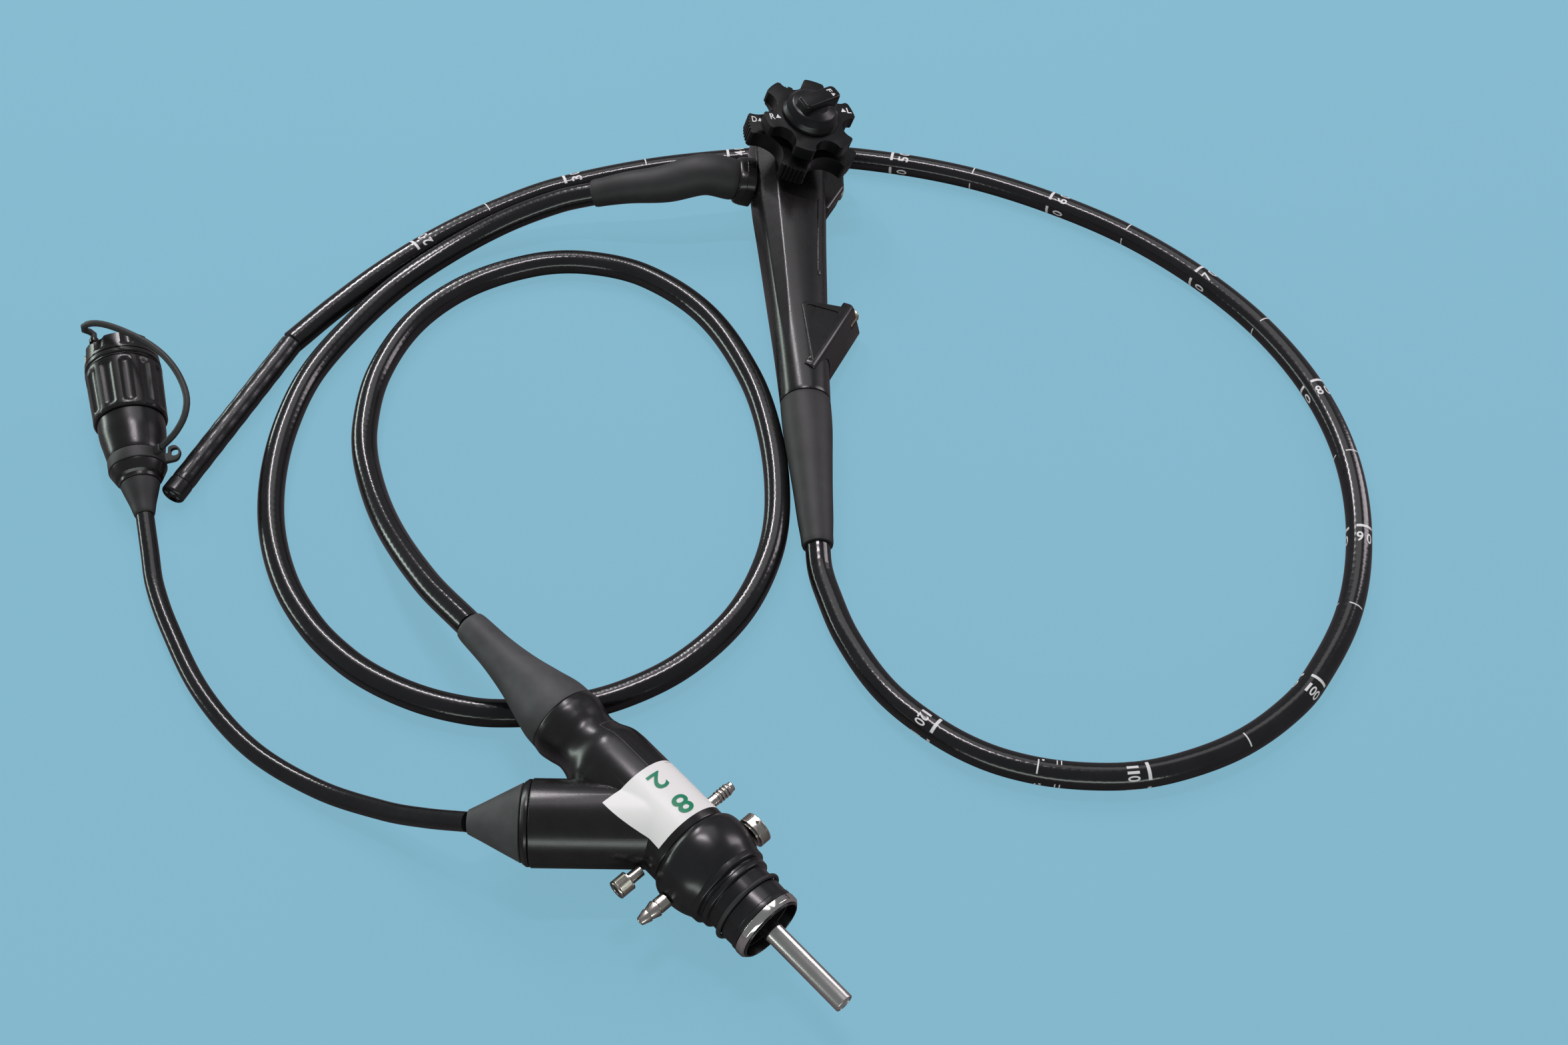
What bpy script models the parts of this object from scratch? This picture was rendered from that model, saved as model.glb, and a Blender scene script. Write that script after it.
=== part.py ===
"""Flexible endoscope laid out on a table, in metres, +Z up, the table at z = 0.

Control section, insertion tube with its bending section, universal cord, light guide connector,
video cable and capped video plug. The origin is on the table, under the middle of the instrument.
"""
import math

import bmesh
import bpy
from mathutils import Matrix, Vector

MM = 0.001
GAP = 0.3 * MM                      # play between two pieces that touch
TURN_STEPS = 26                     # facets round a large turned piece
FINE_STEPS = 16                     # facets round a small turned piece

# Cords
TUBE_RADIUS = 6.35 * MM
CORD_RADIUS = 6.65 * MM
CABLE_RADIUS = 4.45 * MM
TETHER_RADIUS = 1.7 * MM
CORD_POINT_SPACING = 2.8            # cord diameters between two points of a cord

# Control section: local Y runs up the grip, local Z is the knobs' axis, local X the valve side
CONTROL_POSITION = Vector((137.8, 242.6, 22.5)) * MM
CONTROL_ROLL = math.radians(17.0)
CONTROL_PITCH = math.radians(6.0)
CONTROL_HEADING = math.radians(3.07)
BODY_ROUNDNESS = 2.9                # exponent of the body's cross-section, 2 is an ellipse
BODY_POINTS = 28
HEAD_TOP = 28.0 * MM
HEAD_SEAM = -36.0 * MM
GRIP_SEAM = -175.5 * MM
BOOT_END = -267.5 * MM
BODY_SLOPE = Vector((2.8, 0.0, -15.0)) / 267.5      # how the centre line leaves local Y

# Knobs
SHAFT_RADIUS = 4.0 * MM
KNOB_BORE = 6.0 * MM
UD_LEVER_BASE = 18.6 * MM
UD_LEVER_THICKNESS = 4.6 * MM
UD_KNOB_TOP = 35.1 * MM
UD_KNOB_THICKNESS = 10.4 * MM
UD_KNOB_RADIUS = 33.2 * MM
RL_KNOB_TOP = 46.9 * MM
RL_KNOB_THICKNESS = 7.6 * MM
RL_KNOB_RADIUS = 28.0 * MM
LOCK_COLLAR_RADIUS = 17.0 * MM
LOCK_KNOB_TOP = 56.0 * MM
LOCK_KNOB_RADIUS = 13.9 * MM
LOCK_BAR_HEIGHT = 5.4 * MM

# Light guide connector: local X runs from the boot's small end to the light guide's tip
CONNECTOR_POSITION = Vector((-9.9, -87.9, 31.7)) * MM
CONNECTOR_PITCH = math.radians(2.7)
CONNECTOR_HEADING = math.radians(-46.3)
CONNECTOR_BOOT_LENGTH = 69.0 * MM
HOUSING_END = 154.5 * MM
HOUSING_RADIUS = 20.1 * MM
NOSE_RADIUS = 23.0 * MM
NOSE_END = 200.5 * MM
MOUTH_END = 205.5 * MM
MOUTH_RADIUS = 14.2 * MM
MOUTH_FLOOR = 186.0 * MM
LIGHT_GUIDE_RADIUS = 4.4 * MM
LIGHT_GUIDE_END = 248.8 * MM
ARM_STATION = 139.4 * MM
ARM_RADIUS = 19.3 * MM
ARM_LENGTH = 58.5 * MM
CONE_START = 62.5 * MM
CONE_END = 86.4 * MM

# Video plug: local X runs from the boot's small end to the cap's face
PLUG_POSITION = Vector((-186.4, -6.0, 10.6)) * MM
PLUG_PITCH = math.radians(-8.2)     # it rests on its coupling and its retainer ring
PLUG_HEADING = math.radians(107.4)
PLUG_BOOT_LENGTH = 18.7 * MM
RETAINER_START = 27.4 * MM
RETAINER_END = 34.2 * MM
RETAINER_RADIUS = 14.4 * MM
COUPLING_START = 57.3 * MM
COUPLING_END = 91.0 * MM
COUPLING_RADII = (18.4 * MM, 19.4 * MM)
CAP_END = 104.8 * MM
CAP_RADII = (19.3 * MM, 18.1 * MM)
FLUTES = 12

# Bending section: local X runs to the distal tip, local Z is the way it bends up
BENDING_POSITION = Vector((-134.7, 117.8, 6.6)) * MM
BENDING_HEADING = math.radians(-111.62)
BENDING_TILT = math.radians(-22.0)
LINKS = 8
LINK_PITCH = 11.5 * MM
FIRST_HINGE = 9.5 * MM
LINK_OUTER = 5.15 * MM
LINK_INNER = 3.75 * MM
EAR_THICKNESS = 0.5 * MM
EAR_RADIUS = 2.1 * MM
RIVET_RADIUS = 0.7 * MM
COVER_INNER = 5.5 * MM
TIP_RADIUS = 6.2 * MM
TIP_LENGTH = 14.4 * MM

TUBE_ROUTE = [
    (154.8, -37.0, 7.6), (158.0, -50.0, 6.7), (167.4, -77.6, 6.6), (184.5, -107.4, 6.6),
    (207.0, -129.4, 6.6), (229.0, -143.2, 6.6), (252.5, -151.0, 6.6), (277.0, -154.0, 6.6),
    (301.0, -153.0, 6.6), (325.5, -146.6, 6.6), (348.2, -136.6, 6.6), (369.0, -122.2, 6.6),
    (386.2, -105.1, 6.6), (412.7, -62.5, 6.6), (427.4, -13.8, 6.6), (430.8, 35.9, 6.6),
    (422.3, 84.2, 6.6), (402.4, 129.8, 6.6), (373.3, 170.0, 6.6), (337.1, 205.1, 6.6),
    (295.7, 232.7, 6.6), (250.5, 254.5, 6.6), (202.4, 268.6, 6.6), (152.0, 275.6, 6.5), (103.6, 271.4, 6.5),
    (53.3, 262.5, 6.6), (1.3, 245.6, 6.6), (-30.0, 228.1, 6.6), (-60.6, 205.5, 6.6),
    (-89.8, 177.1, 6.6), (-115.3, 145.8, 6.6),
]
CORD_ROUTE = [
    (6.6, 217.5, 21.5), (-23.9, 207.9, 15.0), (-53.4, 190.6, 9.5), (-81.2, 164.3, 6.9),
    (-102.8, 131.1, 6.9), (-120.0, 94.2, 6.9), (-127.1, 57.2, 6.9), (-127.4, 20.6, 6.9),
    (-121.3, -14.2, 6.9), (-108.4, -46.8, 6.9), (-91.1, -72.5, 6.9), (-72.8, -90.6, 6.9),
    (-56.2, -102.2, 6.9), (-36.5, -111.8, 6.9), (-17.6, -117.7, 6.9), (1.1, -120.5, 6.9),
    (31.0, -118.8, 6.9), (60.2, -110.6, 6.9), (89.0, -93.5, 6.9), (114.2, -65.4, 6.9),
    (128.9, -31.1, 6.9), (133.6, 3.3, 6.9), (130.0, 49.0, 6.9), (117.9, 94.2, 6.9),
    (92.8, 140.6, 6.9), (57.7, 171.1, 6.9), (23.4, 181.8, 6.9), (-7.1, 179.6, 6.9),
    (-42.6, 162.8, 6.9), (-68.6, 134.5, 6.9), (-83.1, 95.9, 6.9), (-85.1, 57.4, 6.9),
    (-79.0, 26.9, 8.5), (-62.6, -13.0, 13.5), (-36.4, -55.0, 22.0),
]
CABLE_ROUTE = [
    (-179.8, -27.4, 7.9), (-174.3, -45.0, 5.6), (-162.1, -69.7, 4.8), (-138.3, -107.7, 4.8),
    (-108.9, -138.6, 4.8), (-74.5, -160.1, 6.0), (-41.2, -174.5, 12.0), (-20.0, -182.5, 20.0),
]
TETHER_ROUTE = [
    (-173.0, 30.0, 32.5), (-168.8, 38.0, 36.5), (-168.6, 47.4, 40.0),
    (-173.9, 59.3, 43.0), (-181.8, 69.3, 46.0), (-191.7, 77.4, 48.0), (-203.4, 83.5, 50.0),
    (-215.4, 88.7, 50.6), (-223.3, 90.9, 50.0), (-229.2, 91.9, 47.5), (-230.9, 91.9, 44.3),
]

# Looks: base colour, roughness, metallic value
SATIN_BLACK = ((0.014, 0.014, 0.015), 0.40, 0.0)
GLOSS_BLACK = ((0.008, 0.008, 0.009), 0.18, 0.0)
TUBE_BLACK = ((0.010, 0.010, 0.011), 0.22, 0.0)
RUBBER_GREY = ((0.030, 0.031, 0.033), 0.78, 0.0)
STEEL = ((0.62, 0.60, 0.57), 0.28, 1.0)
BRIGHT_STEEL = ((0.78, 0.76, 0.73), 0.12, 1.0)
BRASS = ((0.70, 0.60, 0.42), 0.30, 1.0)
GLASS = ((0.78, 0.82, 0.80), 0.08, 0.0)
SWITCH_GREY = ((0.05, 0.05, 0.055), 0.55, 0.0)


# Scene and materials
def clear_scene():
    for thing in list(bpy.data.objects):
        bpy.data.objects.remove(thing, do_unlink=True)


def finish(name, look):
    """A Principled material of the piece's own."""
    colour, roughness, metallic = look
    material = bpy.data.materials.new(name + "_finish")
    material.use_nodes = True
    shader = material.node_tree.nodes["Principled BSDF"]
    shader.inputs["Base Color"].default_value = (*colour, 1.0)
    shader.inputs["Roughness"].default_value = roughness
    shader.inputs["Metallic"].default_value = metallic
    material.diffuse_color = (*colour, 1.0)
    return material


def frame(name, location, rotation, order="XYZ", parent=None):
    """An empty that carries one assembly or moving piece."""
    empty = bpy.data.objects.new(name, None)
    empty.empty_display_size = 0.01
    empty.rotation_mode = order
    empty.location = location
    empty.rotation_euler = rotation
    empty.parent = parent
    bpy.context.collection.objects.link(empty)
    return empty


def piece(name, mesh, look, parent, sharp=32.0):
    """An object made from a bmesh, with smooth shading and its own material."""
    bmesh.ops.recalc_face_normals(mesh, faces=mesh.faces)
    data = bpy.data.meshes.new(name)
    mesh.to_mesh(data)
    mesh.free()
    return placed(name, data, look, parent, sharp)


def placed(name, data, look, parent, sharp=32.0):
    thing = bpy.data.objects.new(name, data)
    data.shade_smooth()
    data.set_sharp_from_angle(angle=math.radians(sharp))
    if not data.materials:
        data.materials.append(finish(name, look))
    thing.parent = parent
    bpy.context.collection.objects.link(thing)
    return thing


def combine(target, tool, operation):
    """A Boolean with a shape that isn't a piece itself."""
    tool.hide_render = True
    tool.display_type = "WIRE"
    modifier = target.modifiers.new(operation.lower() + "_" + tool.name, "BOOLEAN")
    modifier.operation = operation
    modifier.object = tool
    modifier.solver = "EXACT"
    return target


def bevelled(thing, width, segments=2, angle=40.0):
    modifier = thing.modifiers.new("edges", "BEVEL")
    modifier.width = width
    modifier.segments = segments
    modifier.limit_method = "ANGLE"
    modifier.angle_limit = math.radians(angle)
    return thing


# Curves and outlines
def smooth_value(knots, values, at):
    """A point of the smooth curve through the values, by cubic pieces."""
    last = len(knots) - 1
    index = max(i for i in range(last) if knots[i] <= at or i == 0)
    slopes = []
    for i in (index, index + 1):
        low, high = max(i - 1, 0), min(i + 1, last)
        slopes.append((values[high] - values[low]) / (knots[high] - knots[low]))
    span = knots[index + 1] - knots[index]
    t = min(max((at - knots[index]) / span, 0.0), 1.0)
    return (values[index] * (2 * t**3 - 3 * t**2 + 1) + slopes[0] * span * (t**3 - 2 * t**2 + t)
            + values[index + 1] * (3 * t**2 - 2 * t**3) + slopes[1] * span * (t**3 - t**2))


def smooth_path(points, spacing):
    """Points at an even spacing along the smooth curve through the route's points."""
    knots = [0.0]
    for a, b in zip(points, points[1:]):
        knots.append(knots[-1] + (b - a).length)
    count = max(2, round(knots[-1] / spacing))
    return [smooth_value(knots, points, knots[-1] * i / count) for i in range(count + 1)]


def swell(stations, count):
    """Outline points of a smooth flare through (along, radius) stations."""
    knots = [along for along, radius in stations]
    radii = [radius for along, radius in stations]
    first, last = knots[0], knots[-1]
    steps = [first + (last - first) * i / count for i in range(count + 1)]
    return [(at, smooth_value(knots, radii, at)) for at in steps]


def rounded(corners, steps=3):
    """An outline from (along, radius, fillet) corners, each fillet an arc."""
    points = []
    for i, (x, y, fillet) in enumerate(corners):
        here = Vector((x, y))
        before = (Vector(corners[i - 1][:2]) - here)
        after = (Vector(corners[(i + 1) % len(corners)][:2]) - here)
        if fillet <= 0.0:
            points.append((x, y))
            continue
        half = before.angle(after) / 2
        reach = min(fillet / math.tan(half), 0.49 * before.length, 0.49 * after.length)
        radius = reach * math.tan(half)
        centre = here + (before.normalized() + after.normalized()).normalized() * radius / math.sin(half)
        start = here + before.normalized() * reach - centre
        end = here + after.normalized() * reach - centre
        sweep = start.angle_signed(end)
        for k in range(steps + 1):
            turn = -sweep * k / steps
            c, s = math.cos(turn), math.sin(turn)
            points.append((centre.x + start.x * c - start.y * s, centre.y + start.x * s + start.y * c))
    return points


# Solids
AXIS_VECTORS = {"X": (1, 0, 0), "Y": (0, 1, 0), "Z": (0, 0, 1)}


def turned_mesh(outline, axis="X", steps=TURN_STEPS, at=(0, 0, 0)):
    """A closed (along, radius) outline spun about an axis through the point."""
    mesh = bmesh.new()
    verts = []
    for along, radius in outline:
        point = {"X": (along, 0, radius), "Y": (radius, along, 0), "Z": (radius, 0, along)}[axis]
        verts.append(mesh.verts.new(Vector(point) + Vector(at)))
    edges = []
    for i, vert in enumerate(verts):
        following = (i + 1) % len(verts)
        if outline[i][1] > 0.0 or outline[following][1] > 0.0:
            edges.append(mesh.edges.new((vert, verts[following])))
    bmesh.ops.spin(mesh, geom=verts + edges, cent=at, axis=AXIS_VECTORS[axis],
                   angle=2 * math.pi, steps=steps)
    bmesh.ops.remove_doubles(mesh, verts=mesh.verts, dist=1e-6)
    return mesh


def turned(name, outline, look, parent, axis="X", steps=TURN_STEPS, at=(0, 0, 0), sharp=32.0):
    return piece(name, turned_mesh(outline, axis, steps, at), look, parent, sharp)


def tube_outline(start, end, inner, outer, chamfer=0.0):
    return rounded([(start, inner, 0), (start, outer, chamfer), (end, outer, chamfer), (end, inner, 0)], 2)


def lofted_mesh(rings):
    """A closed skin over rings of equal point counts, with flat ends."""
    mesh = bmesh.new()
    loops = [[mesh.verts.new(point) for point in ring] for ring in rings]
    for lower, upper in zip(loops, loops[1:]):
        for i in range(len(lower)):
            j = (i + 1) % len(lower)
            mesh.faces.new((lower[i], lower[j], upper[j], upper[i]))
    mesh.faces.new(reversed(loops[0]))
    mesh.faces.new(loops[-1])
    return mesh


def prism_mesh(outline, low, high, axis="Z"):
    """A flat outline carried from low to high along an axis."""
    def point(u, v, w):
        return {"X": (w, u, v), "Y": (u, w, v), "Z": (u, v, w)}[axis]
    return lofted_mesh([[point(u, v, level) for u, v in outline] for level in (low, high)])


def cord(name, route, radius, look, sides=3):
    """A cord's tube: a poly spline read from the smooth curve through its route."""
    points = smooth_path(route, CORD_POINT_SPACING * 2 * radius)
    data = bpy.data.curves.new(name, "CURVE")
    data.dimensions = "3D"
    data.bevel_depth = radius
    data.bevel_resolution = sides
    data.use_fill_caps = True
    spline = data.splines.new("POLY")
    spline.points.add(len(points) - 1)
    for target, point in zip(spline.points, points):
        target.co = (*point, 1.0)
    spline.use_smooth = True
    data.materials.append(finish(name, look))
    thing = bpy.data.objects.new(name, data)
    bpy.context.collection.objects.link(thing)
    return thing


# Control section
def body_centre(y):
    return Vector((0.0, y, 0.0)) + BODY_SLOPE * y


def body_ring(y, half_width, half_depth, roundness=BODY_ROUNDNESS):
    centre = body_centre(y)
    ring = []
    for i in range(BODY_POINTS):
        angle = 2 * math.pi * i / BODY_POINTS
        c, s = math.cos(angle), math.sin(angle)
        x = half_width * math.copysign(abs(c) ** (2 / roundness), c)
        z = half_depth * math.copysign(abs(s) ** (2 / roundness), s)
        ring.append(centre + Vector((x, 0.0, z)))
    return ring


def body_rings(stations, count):
    """Rings of the body through (y, half width, half depth, roundness) stations."""
    knots = [-station[0] for station in stations]
    values = [Vector(station[1:]) for station in stations]
    rings = []
    for i in range(count + 1):
        at = knots[0] + (knots[-1] - knots[0]) * i / count
        width, depth, roundness = smooth_value(knots, values, at)
        rings.append(body_ring(-at, width, depth, roundness))
    return rings


def control_body(control):
    head_stations = [
        (HEAD_TOP, 11.5 * MM, 10.5 * MM, 2.4), (HEAD_TOP - 2.5 * MM, 16.2 * MM, 13.8 * MM, 2.6),
        (HEAD_TOP - 8.0 * MM, 20.0 * MM, 16.4 * MM, 2.8), (0.0, 21.6 * MM, 17.5 * MM, 3.0),
        (HEAD_SEAM + GAP / 2, 20.6 * MM, 16.9 * MM, 2.9),
    ]
    head = piece("head_housing", lofted_mesh(body_rings(head_stations, 9)), SATIN_BLACK, control)
    valve_outline = [
        (v[0] * MM, v[1] * MM)
        for v in ((12, -33.5), (22, -33.0), (33.2, -13.0), (34.0, 3.0), (32.0, 14.5), (25, 20.0), (12, 20.5))
    ]
    block = piece("valve_block_shape", prism_mesh(valve_outline, -9.5 * MM, 8.5 * MM), SATIN_BLACK, control)
    bevelled(block, 2.0 * MM)
    combine(head, block, "UNION")
    for label, y in VALVE_STATIONS:
        bore = turned_mesh(tube_outline(VALVE_FLOOR - GAP, 60 * MM, 0.0, VALVE_OUTER + GAP), "X",
                           FINE_STEPS, (0, y, VALVE_LEVEL))
        combine(head, piece(label + "_bore", bore, SATIN_BLACK, control), "DIFFERENCE")
    shaft_bore = turned_mesh(tube_outline(SHAFT_FLOOR - GAP, 60 * MM, 0.0, SHAFT_RADIUS + GAP), "Z",
                             FINE_STEPS)
    combine(head, piece("shaft_bore", shaft_bore, SATIN_BLACK, control), "DIFFERENCE")

    grip_stations = [
        (HEAD_SEAM - GAP / 2, 20.6 * MM, 16.9 * MM, 2.9), (-62.0 * MM, 18.9 * MM, 16.0 * MM, 2.8),
        (-105.0 * MM, 16.5 * MM, 14.8 * MM, 2.6), (-140.0 * MM, 14.7 * MM, 14.0 * MM, 2.3),
        (GRIP_SEAM + GAP / 2, 13.4 * MM, 13.4 * MM, 2.0),
    ]
    grip = piece("grip_housing", lofted_mesh(body_rings(grip_stations, 7)), SATIN_BLACK, control)
    return head, grip


VALVE_FLOOR = 16.0 * MM
VALVE_OUTER = 5.6 * MM
VALVE_INNER = 4.4 * MM
VALVE_LIP = 34.4 * MM
VALVE_LEVEL = -0.5 * MM
VALVE_STATIONS = (("suction_cylinder", 9.0 * MM), ("air_water_cylinder", -7.5 * MM))
SHAFT_FLOOR = 6.0 * MM


def valve_cylinders(control):
    """The empty metal cylinders for the suction and air/water valves."""
    for label, y in VALVE_STATIONS:
        outline = rounded([
            (VALVE_FLOOR, 0, 0), (VALVE_FLOOR, VALVE_OUTER, 0), (VALVE_LIP, VALVE_OUTER, 0.4 * MM),
            (VALVE_LIP, VALVE_INNER, 0.3 * MM), (VALVE_FLOOR + 2 * MM, VALVE_INNER, 0),
            (VALVE_FLOOR + 2 * MM, 0, 0),
        ], 2)
        turned(label, outline, STEEL, control, "X", FINE_STEPS, (0, y, VALVE_LEVEL))


def grip_boot(control):
    """The rubber boot where the insertion tube leaves the grip."""
    length = GRIP_SEAM - BOOT_END
    stations = [
        (0.0, 13.5), (0.20, 13.1), (0.42, 11.6), (0.63, 10.2), (0.83, 9.1), (0.93, 8.3), (1.0, 7.6),
    ]
    knots = [share for share, radius in stations]
    radii = [radius * MM for share, radius in stations]
    rings = []
    for i in range(9):
        share = i / 8
        radius = smooth_value(knots, radii, share)
        rings.append(body_ring(GRIP_SEAM - GAP / 2 - share * length, radius, radius, 2.0))
    return piece("grip_boot", lofted_mesh(rings), RUBBER_GREY, control)


COLLAR_START = 20.9 * MM
COLLAR_END = 32.0 * MM
COLLAR_Y = -15.2 * MM
COLLAR_Z = 1.3 * MM


def squircle(half_width, half_height, roundness, count, x, y, z):
    ring = []
    for i in range(count):
        angle = 2 * math.pi * i / count
        c, s = math.cos(angle), math.sin(angle)
        ring.append(Vector((
            x, y + half_width * math.copysign(abs(c) ** (2 / roundness), c),
            z + half_height * math.copysign(abs(s) ** (2 / roundness), s),
        )))
    return ring


def cord_exit(control):
    """The collar and the curved rubber boot where the universal cord leaves the head."""
    rings = []
    for x, half, roundness in ((21.9, 13.4, 3.4), (29.5, 13.4, 3.2), (31.2, 12.6, 2.8), (32.0, 11.6, 2.4)):
        rings.append(squircle(half * MM, 0.94 * half * MM, roundness, 32, -x * MM, COLLAR_Y, COLLAR_Z))
    piece("cord_collar", lofted_mesh(rings), SATIN_BLACK, control)


def cord_boot():
    """The universal cord's boot at the head, swept along its own bend."""
    start = CONTROL_MATRIX @ Vector((-COLLAR_END - GAP, COLLAR_Y, COLLAR_Z))
    heading = -(CONTROL_MATRIX.to_3x3() @ Vector((1, 0, 0)))
    route = [start, start + heading * 18 * MM] + [Vector(p) * MM for p in CORD_BOOT_BEND]
    path = smooth_path(route, 6.5 * MM)
    stations = [(0.0, 11.6), (0.06, 12.0), (0.35, 11.4), (0.7, 9.4), (0.93, 8.1), (1.0, 7.6)]
    knots = [share for share, radius in stations]
    radii = [radius * MM for share, radius in stations]
    rings = []
    for i, point in enumerate(path):
        ahead = path[min(i + 1, len(path) - 1)] - path[max(i - 1, 0)]
        if i == 0:
            ahead = heading
        across = ahead.cross(Vector((0, 0, 1))).normalized()
        upward = across.cross(ahead).normalized()
        radius = smooth_value(knots, radii, i / (len(path) - 1))
        ring = []
        for k in range(20):
            angle = 2 * math.pi * k / 20
            ring.append(point + (across * math.cos(angle) + upward * math.sin(angle)) * radius)
        rings.append(ring)
    piece("cord_boot", lofted_mesh(rings), RUBBER_GREY, None)
    return path[-1], (path[-1] - path[-2]).normalized()


CORD_BOOT_BEND = [(69.0, 220.2, 32.5), (47.0, 219.6, 30.0), (27.0, 219.6, 25.5)]


def lobed_outline(radius, lobes, notch_radius, notch_centre, ridges, ridge_depth, phase):
    """A knob's outline: lobes with ribbed ends, parted by round finger notches."""
    half_pitch = math.pi / lobes
    reach = (radius**2 + notch_centre**2 - notch_radius**2) / (2 * radius * notch_centre)
    notch_half = math.acos(reach)
    tip_half = half_pitch - notch_half
    points = []
    for lobe in range(lobes):
        middle = phase + 2 * math.pi * lobe / lobes
        count = 2 * ridges + 1
        for k in range(count + 1):
            depth = ridge_depth if 0 < k < count and k % 2 == 0 else 0.0
            angle = middle + tip_half * (2 * k / count - 1)
            points.append(((radius - depth) * math.cos(angle), (radius - depth) * math.sin(angle)))
        centre_angle = middle + half_pitch
        centre = Vector((math.cos(centre_angle), math.sin(centre_angle))) * notch_centre
        edge = Vector((math.cos(centre_angle - notch_half), math.sin(centre_angle - notch_half))) * radius
        start = edge - centre
        opening = 2 * math.pi - 2 * start.angle(centre)
        for k in range(1, NOTCH_STEPS):
            turn = -opening * k / NOTCH_STEPS
            c, s = math.cos(turn), math.sin(turn)
            x, y = start.x * c - start.y * s, start.x * s + start.y * c
            points.append((centre.x + x, centre.y + y))
    return points


NOTCH_STEPS = 6


def knob(name, outline, low, high, parent, bore=KNOB_BORE):
    thing = piece(name, prism_mesh(outline, low, high), SATIN_BLACK, parent)
    bevelled(thing, 0.9 * MM, 1, 50.0)
    hole = turned_mesh(tube_outline(low - 5 * MM, high + 5 * MM, 0.0, bore), "Z", FINE_STEPS)
    combine(thing, piece(name + "_bore", hole, SATIN_BLACK, parent), "DIFFERENCE")
    return thing


def knobs(control):
    """The up/down and right/left knobs on their shaft, with the brake lever and the brake knob."""
    ud_low = UD_KNOB_TOP - UD_KNOB_THICKNESS
    rl_low = RL_KNOB_TOP - RL_KNOB_THICKNESS
    collar_top = RL_KNOB_TOP + GAP + 1.1 * MM
    turned("knob_shaft", rounded([
        (SHAFT_FLOOR, 0, 0), (SHAFT_FLOOR, SHAFT_RADIUS, 0), (RL_KNOB_TOP - 1 * MM, SHAFT_RADIUS, 0.3 * MM),
        (RL_KNOB_TOP - 1 * MM, 0, 0)]), STEEL, control, "Z", FINE_STEPS)

    lever_high = UD_LEVER_BASE + UD_LEVER_THICKNESS
    lever = turned("ud_brake_lever", tube_outline(UD_LEVER_BASE, lever_high, KNOB_BORE, 15 * MM, 0.6 * MM),
                   SATIN_BLACK, control, "Z")
    arm_outline = rounded([(-4 * MM, 12 * MM, 0), (4 * MM, 12 * MM, 0), (3 * MM, 25.5 * MM, 2.2 * MM),
                           (-3 * MM, 25.5 * MM, 2.2 * MM)])
    arm = piece("lever_arm_shape", prism_mesh(arm_outline, UD_LEVER_BASE + 0.4 * MM, lever_high - 0.4 * MM),
                SATIN_BLACK, control)
    combine(lever, arm, "UNION")

    ud_outline = lobed_outline(UD_KNOB_RADIUS, 5, 13.0 * MM, 34.5 * MM, 3, 0.7 * MM, math.radians(184.5))
    knob("ud_knob", ud_outline, ud_low, UD_KNOB_TOP, control)
    turned("ud_hub", tube_outline(UD_KNOB_TOP + GAP, rl_low - GAP, SHAFT_RADIUS + GAP, 15.5 * MM, 0.5 * MM),
           SATIN_BLACK, control, "Z")
    rl_outline = lobed_outline(RL_KNOB_RADIUS, 6, 8.6 * MM, 27.2 * MM, 2, 0.5 * MM, math.radians(21.3))
    knob("rl_knob", rl_outline, rl_low, RL_KNOB_TOP, control)

    lock = turned("rl_brake_knob", rounded([
        (RL_KNOB_TOP + GAP, 0, 0), (RL_KNOB_TOP + GAP, LOCK_COLLAR_RADIUS, 0.3 * MM),
        (collar_top, LOCK_COLLAR_RADIUS, 0.3 * MM), (collar_top, LOCK_KNOB_RADIUS + 0.3 * MM, 0),
        (LOCK_KNOB_TOP, LOCK_KNOB_RADIUS, 1.2 * MM), (LOCK_KNOB_TOP, 0, 0)]), SATIN_BLACK, control, "Z")
    bar_outline = rounded([(-8.5 * MM, -4.4 * MM, 1.5 * MM), (15.6 * MM, -4.0 * MM, 2.4 * MM),
                           (15.6 * MM, 4.0 * MM, 2.4 * MM), (-8.5 * MM, 4.4 * MM, 1.5 * MM)])
    turn = math.radians(LOCK_BAR_ANGLE)
    bar_outline = [(u * math.cos(turn) - v * math.sin(turn), u * math.sin(turn) + v * math.cos(turn))
                   for u, v in bar_outline]
    bar = piece("brake_bar_shape",
                prism_mesh(bar_outline, RL_KNOB_TOP + 4 * MM, LOCK_KNOB_TOP + LOCK_BAR_HEIGHT),
                SATIN_BLACK, control)
    bevelled(bar, 0.6 * MM, 2, 50.0)
    combine(lock, bar, "UNION")


LOCK_BAR_ANGLE = 35.0
SWITCH_PLACES = ((-8.0, 3.5), (0.0, 4.5), (8.0, 3.5))
SWITCH_TRAVEL = 1.2 * MM


def switches(control, head):
    """The remote switches, each in its recess in the head's rounded top."""
    outline = rounded([(-0.6 * MM, 0, 0), (-0.6 * MM, 2.9 * MM, 0), (3.2 * MM, 2.7 * MM, 0.8 * MM),
                       (3.2 * MM, 0, 0)])
    recess = tube_outline(-SWITCH_TRAVEL - 0.9 * MM, 5 * MM, 0.0, 2.9 * MM + GAP)
    for number, (x, z) in enumerate(SWITCH_PLACES, 1):
        at = (x * MM + BODY_SLOPE.x * HEAD_TOP, HEAD_TOP, z * MM + BODY_SLOPE.z * HEAD_TOP)
        turned("switch_%d" % number, outline, SWITCH_GREY, control, "Y", FINE_STEPS, at)
        tool = piece("switch_recess", turned_mesh(recess, "Y", FINE_STEPS, at), SATIN_BLACK, control)
        combine(head, tool, "DIFFERENCE")


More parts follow.
